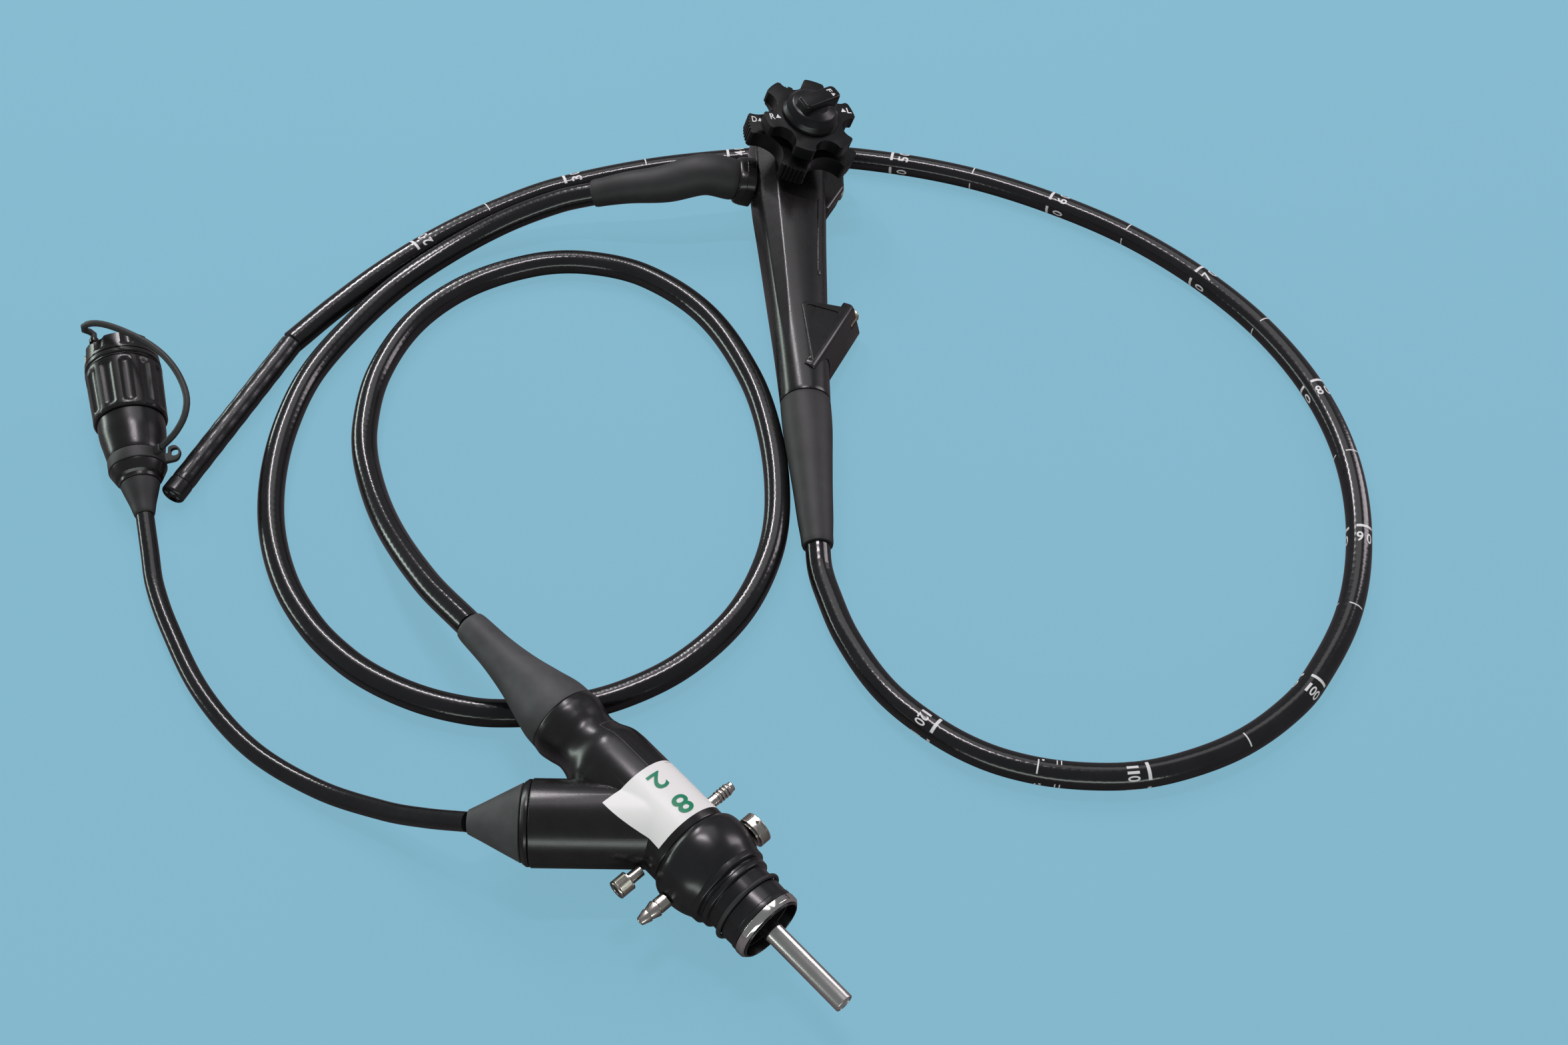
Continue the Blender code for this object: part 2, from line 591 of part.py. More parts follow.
PORT_ROOT = Vector((2.5, -155.4, 9.0)) * MM
PORT_HEADING = math.radians(61.0)
PORT_TILT = math.radians(4.0)
PORT_LENGTH = 48.5 * MM
PORT_SECTION = ((5.5, 10.5), (2.0, 11.6), (-2.4, 11.6), (-4.4, 10.3), (-10.6, 0.0), (-9.6, -5.0), (-5.0, -7.4),
                (5.5, -7.4))
PORT_WEB = ((1, 1), (46.3, 1), (46.3, 3.5), (44.8, 9.9), (42, 12.2), (34.8, 20.5), (3, 4.5))
MOUTH_SIDE = -1.0 * MM
MOUTH_LEVEL = 5.0 * MM
MOUTH_OUTER = 4.9 * MM


def instrument_port(control):
    """The forked housing of the instrument channel, with its metal mouth."""
    port = frame("port_frame", PORT_ROOT, (0.0, PORT_TILT, PORT_HEADING), parent=control)
    section = [(v * MM, w * MM) for v, w in PORT_SECTION]
    housing = piece("port_housing", prism_mesh(section, -8 * MM, PORT_LENGTH, "X"), SATIN_BLACK, port)
    bevelled(housing, 0.9 * MM, 2, 20.0)
    web = piece("port_web_shape", prism_mesh([(t * MM, v * MM) for t, v in PORT_WEB], -7.0 * MM, 9.6 * MM),
                SATIN_BLACK, port)
    combine(housing, bevelled(web, 0.7 * MM), "UNION")
    clearance = piece("port_clearance_shape", lofted_mesh(body_rings([
        (-60.0 * MM, 19.3 * MM, 16.5 * MM, 2.8), (-105.0 * MM, 16.85 * MM, 15.15 * MM, 2.6),
        (-140.0 * MM, 15.05 * MM, 14.35 * MM, 2.3), (-200.0 * MM, 13.0 * MM, 13.3 * MM, 2.0)], 8)),
        SATIN_BLACK, control)
    combine(housing, clearance, "DIFFERENCE")
    at = (0, MOUTH_SIDE, MOUTH_LEVEL)
    bore = turned_mesh(tube_outline(PORT_LENGTH - 9 * MM, PORT_LENGTH + 5 * MM, 0.0, MOUTH_OUTER + GAP), "X",
                       FINE_STEPS, at)
    combine(housing, piece("port_bore", bore, SATIN_BLACK, port), "DIFFERENCE")
    mouth = rounded([
        (PORT_LENGTH - 8 * MM, 2.2 * MM, 0), (PORT_LENGTH - 8 * MM, MOUTH_OUTER, 0),
        (PORT_LENGTH + 3.4 * MM, MOUTH_OUTER, 0.5 * MM), (PORT_LENGTH + 3.4 * MM, 2.2 * MM, 0)], 2)
    turned("port_mouth", mouth, BRASS, port, "X", FINE_STEPS, at)


# Light guide connector
def connector_boot(connector):
    flare = swell([(0.4 * MM, 7.8 * MM), (20 * MM, 9.0 * MM), (36 * MM, 11.2 * MM), (50 * MM, 14.3 * MM),
                   (61 * MM, 16.9 * MM), (CONNECTOR_BOOT_LENGTH, 17.4 * MM)], 8)
    turned("connector_boot", [(0.0, 0.0), (0.0, 7.3 * MM)] + flare + [(CONNECTOR_BOOT_LENGTH, 0.0)],
           RUBBER_GREY, connector)


def connector_housing(connector):
    """The moulded housing: waisted barrel with the side arm of the video cable."""
    start = CONNECTOR_BOOT_LENGTH + GAP
    barrel = swell([(start, 17.5 * MM), (73 * MM, 17.9 * MM), (78 * MM, 17.0 * MM), (84 * MM, 15.7 * MM),
                    (90 * MM, 16.6 * MM), (97 * MM, 19.4 * MM), (103 * MM, HOUSING_RADIUS)], 10)
    outline = [(start, 0.0)] + barrel + [(HOUSING_END, HOUSING_RADIUS), (HOUSING_END, 0.0)]
    housing = turned("connector_housing", outline, SATIN_BLACK, connector)
    arm = frame("arm_frame", (ARM_STATION, 0, 0), (0, 0, ARM_TURN), parent=connector)
    barrel = turned("arm_shape", tube_outline(4 * MM, ARM_LENGTH, 0.0, ARM_RADIUS, 0.0), SATIN_BLACK, arm)
    combine(housing, barrel, "UNION")
    collar = rounded([(ARM_LENGTH + GAP, 0, 0), (ARM_LENGTH + GAP, 18.9 * MM, 0.4 * MM),
                      (CONE_START - 0.4 * MM, 17.5 * MM, 0.5 * MM), (CONE_START - GAP, 0, 0)])
    turned("arm_collar", collar, SATIN_BLACK, arm)
    turned("cable_cone", [(CONE_START, 0), (CONE_START, 17.1 * MM)] + swell([
        (CONE_START + 0.5 * MM, 17.2 * MM), (70 * MM, 13.6 * MM), (80 * MM, 8.4 * MM),
        (CONE_END - 0.4 * MM, 5.4 * MM)], 5) + [(CONE_END, 5.0 * MM), (CONE_END, 0)],
        RUBBER_GREY, arm)
    return arm


ARM_TURN = math.radians(180.0) - CONNECTOR_HEADING


def connector_nose(connector):
    """The glossy plug body with its stepped seal seats and hollow mouth."""
    start = HOUSING_END + GAP
    bell = swell([(start, 20.6 * MM), (157.5 * MM, 22.3 * MM), (161 * MM, NOSE_RADIUS), (167 * MM, 22.7 * MM),
                  (172 * MM, 21.6 * MM), (176.5 * MM, 19.7 * MM)], 7)
    steps = rounded([
        (176.6 * MM, 19.9 * MM, 0), (179.5 * MM, 19.7 * MM, 0.5 * MM), (179.8 * MM, 17.3 * MM, 0.2 * MM),
        (181.2 * MM, 17.3 * MM, 0.2 * MM), (181.5 * MM, 18.1 * MM, 0.4 * MM),
        (183.8 * MM, 18.0 * MM, 0.4 * MM), (184.2 * MM, SEAL_SEAT, 0), (SEAL_CENTRE - 1.2 * MM, SEAL_SEAT, 0),
        (SEAL_CENTRE - 1.2 * MM, SEAL_SEAT - 0.6 * MM, 0), (SEAL_CENTRE + 1.2 * MM, SEAL_SEAT - 0.6 * MM, 0),
        (SEAL_CENTRE + 1.2 * MM, SEAL_SEAT, 0), (198.0 * MM, 15.9 * MM, 0), (198.4 * MM, 16.3 * MM, 0.2 * MM),
        (NOSE_END, 16.3 * MM, 0), (NOSE_END, MOUTH_RADIUS, 0), (MOUTH_FLOOR, MOUTH_RADIUS, 0),
        (MOUTH_FLOOR, 0, 0), (start, 0, 0)], 1)
    turned("connector_nose", bell + steps, GLOSS_BLACK, connector)
    seal = [(SEAL_CENTRE + 1.0 * MM * math.cos(a), SEAL_SEAT + 0.75 * MM + 1.0 * MM * math.sin(a))
            for a in [math.pi * 2 * k / 6 for k in range(6)]]
    turned("seal_ring", seal, RUBBER_GREY, connector)
    ring = rounded([
        (NOSE_END + GAP, MOUTH_RADIUS, 0), (NOSE_END + GAP, 16.6 * MM, 0.3 * MM),
        (MOUTH_END, 16.5 * MM, 1.8 * MM), (MOUTH_END, MOUTH_RADIUS, 0.5 * MM)], 2)
    turned("rim_ring", ring, BRIGHT_STEEL, connector)


SEAL_CENTRE = 190.6 * MM
SEAL_SEAT = 16.1 * MM


def light_guide(connector):
    root = MOUTH_FLOOR + GAP
    glass_back = LIGHT_GUIDE_END - 3.0 * MM
    outline = rounded([
        (root, 0, 0), (root, LIGHT_GUIDE_RADIUS, 0), (LIGHT_GUIDE_END, LIGHT_GUIDE_RADIUS, 0.4 * MM),
        (LIGHT_GUIDE_END, 3.7 * MM, 0), (glass_back - GAP, 3.7 * MM, 0), (glass_back - GAP, 0, 0)])
    turned("light_guide_rod", outline, STEEL, connector, "X", 24)
    turned("light_guide_glass", tube_outline(glass_back, LIGHT_GUIDE_END - 0.2 * MM, 0.0, 3.7 * MM - GAP),
           GLASS, connector, "X", 24)


def fittings(connector):
    """Metal fittings across the connector: water pipe, suction drum, vent and drain nozzle."""
    pipe = [(20.5, 0), (20.5, 2.6), (24.5, 2.6), (24.6, 2.9), (26.3, 2.5), (26.4, 2.9), (28.1, 2.5),
            (28.2, 2.9), (29.9, 2.5), (30.0, 2.9), (33.5, 2.2), (33.5, 1.3), (29.0, 1.3), (29.0, 0)]
    fitting("water_pipe", pipe, connector, 144.5, 1)
    drum = [(23.1, 0), (23.1, 5.4), (23.8, 5.4), (23.8, 7.3), (29.0, 7.3), (29.0, 5.6), (25.4, 5.6), (25.4, 0)]
    holder = fitting("suction_drum", drum, connector, 167.0, 1)
    for side in (-1, 1):
        pin = turned_mesh(tube_outline(side * 7.0 * MM, side * 8.7 * MM, 0.0, 0.7 * MM), "Z", 8,
                          (167.0 * MM, 27.5 * MM, 0))
        combine(holder, piece("drum_pin_shape", pin, STEEL, connector), "UNION")
    vent = [(22.4, 0), (22.4, 2.6), (29.0, 2.6), (29.0, 4.4), (36.2, 4.4),
            (36.2, 2.0), (31.0, 2.0), (31.0, 0)]
    fitting("vent_connector", vent, connector, 147.6, -1)
    nozzle = [(23.3, 0), (23.3, 3.4), (28.2, 3.4), (28.2, 3.0), (29.0, 3.9), (33.4, 2.6), (33.5, 3.1),
              (38.0, 1.9), (38.0, 1.2), (32.0, 1.2), (32.0, 0)]
    fitting("drain_nozzle", nozzle, connector, 165.0, -1)


def fitting(name, outline, connector, station, side):
    """A turned fitting that stands out to one side, from (reach, radius) points in millimetres."""
    points = [(reach * MM * side, radius * MM) for reach, radius in outline]
    return turned(name, points, STEEL, connector, "Y", FINE_STEPS, (station * MM, 0, 0))


# Video plug
def fluted_mesh(start, end, radii, depth, share, from_at, to_at, count=4):
    """A tapered barrel whose skin is fluted between two stations."""
    columns = FLUTES * count
    blend = 2.2 * MM
    stations = sorted({start, start + 0.8 * MM, from_at, from_at + blend, min(to_at - blend, end - 0.9 * MM),
                       min(to_at, end - 0.8 * MM), end})
    rings = []
    for at in stations:
        rise = min(max((at - from_at) / blend, 0.0), max((to_at - at) / blend, 0.0), 1.0)
        trim = 0.5 * MM if at in (start, end) else 0.0
        outer = radii[0] + (radii[1] - radii[0]) * (at - start) / (end - start)
        ring = []
        for i in range(columns):
            angle = 2 * math.pi * i / columns
            wave = max(0.0, -math.cos(2 * math.pi * (i % count) / count) - share) / (1 - share)
            radius = outer - trim - depth * rise * math.sqrt(wave)
            ring.append(Vector((at, radius * math.cos(angle), radius * math.sin(angle))))
        rings.append(ring)
    return lofted_mesh(rings)


def video_plug(plug):
    flare = swell([(0.3 * MM, 5.2 * MM), (7 * MM, 6.5 * MM), (13 * MM, 8.2 * MM), (PLUG_BOOT_LENGTH, 9.7 * MM)], 5)
    turned("plug_boot", [(0, 0), (0, 5.0 * MM)] + flare + [(PLUG_BOOT_LENGTH, 0)], RUBBER_GREY, plug, "X", 28)
    start = PLUG_BOOT_LENGTH + GAP
    seat = RETAINER_RADIUS - 1.2 * MM - GAP
    shoulder = swell([(RETAINER_END + GAP, 14.1 * MM), (42 * MM, 15.4 * MM), (49 * MM, 16.5 * MM),
                      (COUPLING_START - GAP, 16.8 * MM)], 5)
    outline = ([(start, 0), (start, 9.9 * MM), (21.0 * MM, 10.2 * MM),
                (22.0 * MM, 11.4 * MM), (RETAINER_START - GAP, 14.1 * MM), (RETAINER_START - GAP, seat),
                (RETAINER_END, seat)] + shoulder
               + [(COUPLING_START - GAP, PLUG_CORE), (PLUG_CORE_END, PLUG_CORE), (PLUG_CORE_END, 0)])
    turned("plug_body", outline, SATIN_BLACK, plug)
    contact = rounded([(PLUG_CORE_END + GAP, 0, 0), (PLUG_CORE_END + GAP, 11.8 * MM, 0),
                       (PLUG_CORE_END + 3 * MM, 11.8 * MM, 0.3 * MM), (PLUG_CORE_END + 3 * MM, 0, 0)])
    turned("contact_block", contact, BRASS, plug, "X", 24)

    band = turned("retainer_ring", tube_outline(RETAINER_START, RETAINER_END,
                                                RETAINER_RADIUS - 1.2 * MM, RETAINER_RADIUS, 0.4 * MM),
                  RUBBER_GREY, plug)
    eyelet = piece("eyelet_shape", prism_mesh(rounded([(u * MM, v * MM, r * MM) for u, v, r in EYELET], 2),
                                              -1.2 * MM, 1.2 * MM), RUBBER_GREY, plug)
    combine(band, eyelet, "UNION")
    hole = piece("eyelet_hole", prism_mesh(rounded([(u * MM, v * MM, 1.6 * MM) for u, v in EYELET_HOLE], 2),
                                           -4 * MM, 4 * MM), RUBBER_GREY, plug)
    combine(band, hole, "DIFFERENCE")
    root = frame("tether_root_frame", (0, 0, 0), (TETHER_SIDE, 0, 0), parent=plug)
    tab = piece("tether_tab_shape", prism_mesh([(29.0 * MM, -18.4 * MM), (33.6 * MM, -18.4 * MM),
                (33.6 * MM, -13.4 * MM), (29.0 * MM, -13.4 * MM)], -1.7 * MM, 1.7 * MM), RUBBER_GREY, root)
    combine(band, bevelled(tab, 0.8 * MM), "UNION")

    coupling = piece("coupling_ring", fluted_mesh(COUPLING_START, COUPLING_END, COUPLING_RADII, 1.4 * MM,
                     -0.3, COUPLING_START + 2.0 * MM, COUPLING_END - 3.0 * MM), SATIN_BLACK, plug)
    bore = piece("coupling_bore", turned_mesh(tube_outline(COUPLING_START - 2 * MM, COUPLING_END + 2 * MM,
                 0.0, PLUG_CORE + GAP)), SATIN_BLACK, plug)
    combine(coupling, bore, "DIFFERENCE")

    cap_start = COUPLING_END + GAP
    cap = piece("plug_cap", fluted_mesh(cap_start, CAP_END, CAP_RADII, 1.2 * MM, 0.2, cap_start + 4.5 * MM,
                CAP_END + 6 * MM), SATIN_BLACK, plug)
    cavity = piece("cap_cavity", turned_mesh(tube_outline(cap_start - 2 * MM, CAP_END - CAP_WALL,
                   0.0, PLUG_CORE + GAP)), SATIN_BLACK, plug)
    combine(cap, cavity, "DIFFERENCE")
    lug = turned("tether_lug_shape", tube_outline(CAP_END - 1 * MM, CAP_END + 1.6 * MM, 0.0, 2.4 * MM),
                 SATIN_BLACK, plug, "X", 12, (0, TETHER_LUG[0] * MM, TETHER_LUG[1] * MM))
    combine(cap, lug, "UNION")


TETHER_SIDE = math.radians(-36.4)
TETHER_LUG = (9.8, 13.6)
EYELET = ((28.6, -13.6, 0), (28.6, -20.5, 3.5), (34.0, -23.0, 4.5), (38.4, -20.0, 2.6), (37.6, -16.6, 0.8),
          (33.9, -15.9, 0.3), (33.9, -13.6, 0))
EYELET_HOLE = ((31.4, -17.4), (31.4, -21.2), (36.2, -21.2), (36.2, -17.4))
PLUG_CORE = 14.0 * MM
PLUG_CORE_END = 96.0 * MM
CAP_WALL = 2.5 * MM


# Bending section
def stadium(centre, reach, radius, steps=4):
    """A tab outline in the XZ plane: round at the hinge, square at its root."""
    sign = 1 if reach > centre else -1
    points = [(reach, -radius), (reach, radius)]
    for k in range(steps + 1):
        angle = math.pi / 2 + math.pi * k / steps
        points.append((centre + sign * radius * math.cos(angle), radius * math.sin(angle)))
    return points


def joined(name, shapes, look, parent):
    """Shapes united into one solid by Booleans; the first is the piece."""
    thing = shapes[0]
    thing.name = name
    for other in shapes[1:]:
        combine(thing, other, "UNION")
    return thing


def ear(name, centre, root, inner, outer, parent, side):
    """A hinge tab cut from a thin tube on one side of the link."""
    tab = piece(name, prism_mesh(stadium(centre, root, EAR_RADIUS), min(side * 1.5 * MM, side * 7 * MM),
                                 max(side * 1.5 * MM, side * 7 * MM), "Y"), STEEL, parent)
    low, high = min(centre - EAR_RADIUS, root) - 1 * MM, max(centre + EAR_RADIUS, root) + 1 * MM
    shell = piece(name + "_shell", turned_mesh(tube_outline(low, high, inner, outer), "X", 14), STEEL, parent)
    return combine(tab, shell, "INTERSECT")


def evaluated_copy(thing):
    """The mesh of an object with its modifiers done, for pieces that share it."""
    bpy.context.view_layer.update()
    source = thing.evaluated_get(bpy.context.evaluated_depsgraph_get())
    return bpy.data.meshes.new_from_object(source)


def link_mesh(rear, front, band_start, band_end, guide):
    """One bending link: a ring with outer tabs ahead and riveted inner tabs behind."""
    band = piece("band_shape", turned_mesh(tube_outline(band_start, band_end, LINK_INNER, LINK_OUTER), "X", 14),
                 STEEL, guide)
    tools = [band]
    for side in (-1, 1):
        if front:
            tab = ear("front_ear", LINK_PITCH, band_end - 0.5 * MM, LINK_OUTER - EAR_THICKNESS,
                      LINK_OUTER - 0.04 * MM, guide, side)
            hole = turned_mesh(tube_outline(side * 2 * MM, side * 8 * MM, 0.0, RIVET_RADIUS + GAP), "Y", 8,
                               (LINK_PITCH, 0, 0))
            hole = piece("rivet_hole", hole, STEEL, guide)
            combine(tab, hole, "DIFFERENCE")
            tools += [tab, hole]
            combine(band, tab, "UNION")
        if rear:
            tab = ear("rear_ear", 0.0, band_start + 0.5 * MM, LINK_INNER + 0.04 * MM,
                      LINK_INNER + EAR_THICKNESS, guide, side)
            rivet = turned_mesh(tube_outline(side * (LINK_INNER + 0.2 * MM), side * (LINK_OUTER - 0.1 * MM),
                                             0.0, RIVET_RADIUS), "Y", 8)
            rivet = piece("rivet_shape", rivet, STEEL, guide)
            combine(band, tab, "UNION")
            combine(band, rivet, "UNION")
            tools += [tab, rivet]
    data = evaluated_copy(band)
    for tool in [o for o in bpy.data.objects if o.parent == guide]:
        bpy.data.objects.remove(tool, do_unlink=True)
    return data


def bending_section():
    """The chain of riveted links in its rubber cover, and the distal tip."""
    turn = Matrix.Rotation(BENDING_HEADING, 4, "Z") @ Matrix.Rotation(BENDING_TILT, 4, "X")
    base = frame("bending_frame", BENDING_POSITION, turn.to_euler())
    guide = frame("link_guide", (0, 0, 0), (0, 0, 0))
    near, far = EAR_RADIUS + GAP, LINK_PITCH - EAR_RADIUS - GAP
    base_data = link_mesh(False, True, near, far, guide)
    link_data = link_mesh(True, True, near, far, guide)
    tip_data = link_mesh(True, False, near, near + 3 * MM, guide)
    bpy.data.objects.remove(guide, do_unlink=True)

    ring = placed("bending_base", base_data, STEEL, base)
    ring.location = (FIRST_HINGE - LINK_PITCH, 0, 0)
    for number in range(LINKS):
        link = placed("bending_link_%d" % (number + 1), link_data, STEEL, base)
        link.location = (FIRST_HINGE + number * LINK_PITCH, 0, 0)
    last_hinge = FIRST_HINGE + LINKS * LINK_PITCH
    tip_start = last_hinge + near + 3 * MM
    tip_end = last_hinge + TIP_LENGTH
    cover = tube_outline(GAP, tip_start - GAP, COVER_INNER, TIP_RADIUS - 0.1 * MM)
    turned("bending_cover", cover, TUBE_BLACK, base, "X", 24)

    tip_frame = frame("tip_frame", (last_hinge, 0, 0), (0, 0, 0), parent=base)
    stem = placed("tip_stem_shape", tip_data, STEEL, tip_frame)
    tip = turned("distal_tip", rounded([
        (tip_start - last_hinge - 0.2 * MM, 0, 0), (tip_start - last_hinge - 0.2 * MM, LINK_OUTER - 0.2 * MM, 0),
        (tip_start - last_hinge, TIP_RADIUS, 0), (TIP_LENGTH, TIP_RADIUS, 1.3 * MM), (TIP_LENGTH, 0, 0)], 3),
        GLOSS_BLACK, tip_frame, "X", 24)
    combine(tip, stem, "UNION")
    for name, y, z, radius, depth in TIP_FEATURES:
        hole = turned_mesh(tube_outline(TIP_LENGTH - depth, TIP_LENGTH + 1 * MM, 0.0, radius), "X", 12,
                           (0, y * MM, z * MM))
        combine(tip, piece(name + "_seat", hole, GLOSS_BLACK, tip_frame), "DIFFERENCE")
        if name != "channel":
            lens = tube_outline(TIP_LENGTH - depth + GAP, TIP_LENGTH - 0.1 * MM, 0.0, radius - GAP)
            turned(name, lens, GLASS, tip_frame, "X", 12, (0, y * MM, z * MM))
    return tip_end


TIP_FEATURES = (
    ("objective_lens", 0.0, 2.6, 1.6 * MM, 1.6 * MM), ("light_lens_1", 3.3, 0.4, 1.2 * MM, 1.4 * MM),
    ("light_lens_2", -3.3, 0.4, 1.2 * MM, 1.4 * MM), ("channel", 0.9, -2.8, 1.9 * MM, 6.0 * MM),
)

CONTROL_MATRIX = (Matrix.Translation(CONTROL_POSITION) @ Matrix.Rotation(CONTROL_HEADING, 4, "Z")
                  @ Matrix.Rotation(CONTROL_PITCH, 4, "X") @ Matrix.Rotation(CONTROL_ROLL, 4, "Y"))


def build():
    clear_scene()
    control = frame("control_frame", CONTROL_POSITION, (CONTROL_PITCH, CONTROL_ROLL, CONTROL_HEADING), "YXZ")
    head, grip = control_body(control)
    valve_cylinders(control)
    grip_boot(control)
    cord_exit(control)
    knobs(control)
    switches(control, head)
    instrument_port(control)

    connector = frame("connector_frame", CONNECTOR_POSITION, (0, CONNECTOR_PITCH, CONNECTOR_HEADING))
    connector_boot(connector)
    connector_housing(connector)
    connector_nose(connector)
    light_guide(connector)
    fittings(connector)

    plug = frame("plug_frame", PLUG_POSITION, (0, PLUG_PITCH, PLUG_HEADING))
    video_plug(plug)
    bending_section()
    lay_cords()


def on_matrix(matrix, x, y, z):
    return matrix @ Vector((x, y, z))


def lay_cords():
    """The four cords, from gland to gland along their routes."""
    scaled = {name: [Vector(p) * MM for p in route] for name, route in (
        ("tube", TUBE_ROUTE), ("cord", CORD_ROUTE), ("cable", CABLE_ROUTE), ("tether", TETHER_ROUTE))}
    bottom = CONTROL_MATRIX @ body_centre(BOOT_END - 2.4 * MM)
    last = BENDING_POSITION - 1.6 * MM * Vector((math.cos(BENDING_HEADING), math.sin(BENDING_HEADING), 0))
    cord("insertion_tube", [bottom] + scaled["tube"] + [last], TUBE_RADIUS, TUBE_BLACK)

    boot_end, boot_heading = cord_boot()
    connector = (Matrix.Translation(CONNECTOR_POSITION) @ Matrix.Rotation(CONNECTOR_HEADING, 4, "Z")
                 @ Matrix.Rotation(CONNECTOR_PITCH, 4, "Y"))
    cord("universal_cord", [boot_end + boot_heading * 1.6 * MM] + scaled["cord"]
         + [on_matrix(connector, -14 * MM, 0, 0), on_matrix(connector, -2.6 * MM, 0, 0)], CORD_RADIUS, TUBE_BLACK)

    plug = (Matrix.Translation(PLUG_POSITION) @ Matrix.Rotation(PLUG_HEADING, 4, "Z")
            @ Matrix.Rotation(PLUG_PITCH, 4, "Y"))
    arm = connector @ Matrix.Translation((ARM_STATION, 0, 0)) @ Matrix.Rotation(ARM_TURN, 4, "Z")
    cord("video_cable", [on_matrix(plug, -2 * GAP, 0, 0)] + scaled["cable"]
         + [on_matrix(arm, CONE_END + 2.4 * MM, 0, 0)], CABLE_RADIUS, TUBE_BLACK)
    start = on_matrix(plug @ Matrix.Rotation(TETHER_SIDE, 4, "X"), 31.3 * MM, -19.0 * MM, 0)
    y, z = TETHER_LUG[0] * MM, TETHER_LUG[1] * MM
    cord("cap_tether", [start] + scaled["tether"] + [on_matrix(plug, CAP_END + 5.6 * MM, y, z),
         on_matrix(plug, CAP_END + 3.5 * MM, y, z)], TETHER_RADIUS, RUBBER_GREY, 2)


build()
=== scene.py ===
"""Looks of the flexible endoscope: finishes, cords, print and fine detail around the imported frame.

Metres, +Z up, the table at z = 0, in the frame's own axes. Outlines are in millimetres.
"""
import math

import bmesh
import bpy
from mathutils import Matrix, Vector

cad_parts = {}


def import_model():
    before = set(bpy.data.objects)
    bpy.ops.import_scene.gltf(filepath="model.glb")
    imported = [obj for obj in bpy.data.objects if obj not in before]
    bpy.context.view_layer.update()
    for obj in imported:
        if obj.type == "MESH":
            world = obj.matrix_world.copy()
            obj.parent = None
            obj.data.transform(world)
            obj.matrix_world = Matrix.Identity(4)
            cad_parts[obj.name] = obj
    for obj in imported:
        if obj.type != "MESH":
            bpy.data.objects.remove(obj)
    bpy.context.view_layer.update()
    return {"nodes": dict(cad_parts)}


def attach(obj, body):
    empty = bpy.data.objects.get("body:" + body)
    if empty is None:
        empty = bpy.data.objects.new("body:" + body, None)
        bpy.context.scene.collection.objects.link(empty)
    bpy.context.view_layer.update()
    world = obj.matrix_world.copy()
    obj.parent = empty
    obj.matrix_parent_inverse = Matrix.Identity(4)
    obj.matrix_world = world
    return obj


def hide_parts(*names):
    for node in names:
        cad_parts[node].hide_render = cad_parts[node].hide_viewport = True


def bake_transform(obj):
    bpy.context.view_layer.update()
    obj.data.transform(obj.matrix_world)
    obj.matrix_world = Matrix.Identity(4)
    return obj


MM = 0.001
FLOOR_BLUE = (0.242, 0.497, 0.631)
FLOOR_GREY = (0.22, 0.20, 0.21)     # the floor as reflections and bounced light meet it
FLOOR_GLOW = 0.84                   # the share of the seen floor that no light changes
SHARP_ANGLE = 32.0


def moved(x, y, z):
    return Matrix.Translation(Vector((x, y, z)) * MM)


def turned(degrees, axis):
    return Matrix.Rotation(math.radians(degrees), 4, axis)


# The assemblies' frames
CONTROL = moved(137.8, 242.6, 22.5) @ turned(3.07, "Z") @ turned(6.0, "X") @ turned(17.0, "Y")
CONNECTOR = moved(-9.9, -87.9, 31.7) @ turned(-46.3, "Z") @ turned(2.7, "Y")
ARM = CONNECTOR @ Matrix.Translation((0.1394, 0, 0)) @ turned(180 + 46.3, "Z")
PLUG = moved(-186.4, -6.0, 10.6) @ turned(107.4, "Z") @ turned(-8.2, "Y")
TETHER_ROOT = PLUG @ turned(-36.4, "X")
BENDING_HEADING = -111.62
BENDING = moved(-134.7, 117.8, 6.6) @ turned(BENDING_HEADING, "Z") @ turned(-22.0, "X")
ROOT = "endoscope_body"

# Cords
TUBE_START = -266.4     # inside the grip boot, in the control frame's y
TUBE_RADIUS = 6.35
CORD_RADIUS = 6.65
CABLE_RADIUS = 4.45
TETHER_RADIUS = 1.7
TUBE_ROUTE = [
    (154.8, -37.0, 7.6), (158.0, -50.0, 6.7), (167.4, -77.6, 6.6), (184.5, -107.4, 6.6),
    (207.0, -129.4, 6.6), (229.0, -143.2, 6.6), (252.5, -151.0, 6.6), (277.0, -154.0, 6.6),
    (301.0, -153.0, 6.6), (325.5, -146.6, 6.6), (348.2, -136.6, 6.6), (369.0, -122.2, 6.6),
    (386.2, -105.1, 6.6), (412.7, -62.5, 6.6), (427.4, -13.8, 6.6), (430.8, 35.9, 6.6),
    (422.3, 84.2, 6.6), (402.4, 129.8, 6.6), (373.3, 170.0, 6.6), (337.1, 205.1, 6.6),
    (295.7, 232.7, 6.6), (250.5, 254.5, 6.6), (202.4, 268.6, 6.6), (152.0, 275.6, 6.5),
    (103.6, 271.4, 6.5), (53.3, 262.5, 6.6), (1.3, 245.6, 6.6), (-30.0, 228.1, 6.6),
    (-60.6, 205.5, 6.6), (-89.8, 177.1, 6.6), (-115.3, 145.8, 6.6),
]
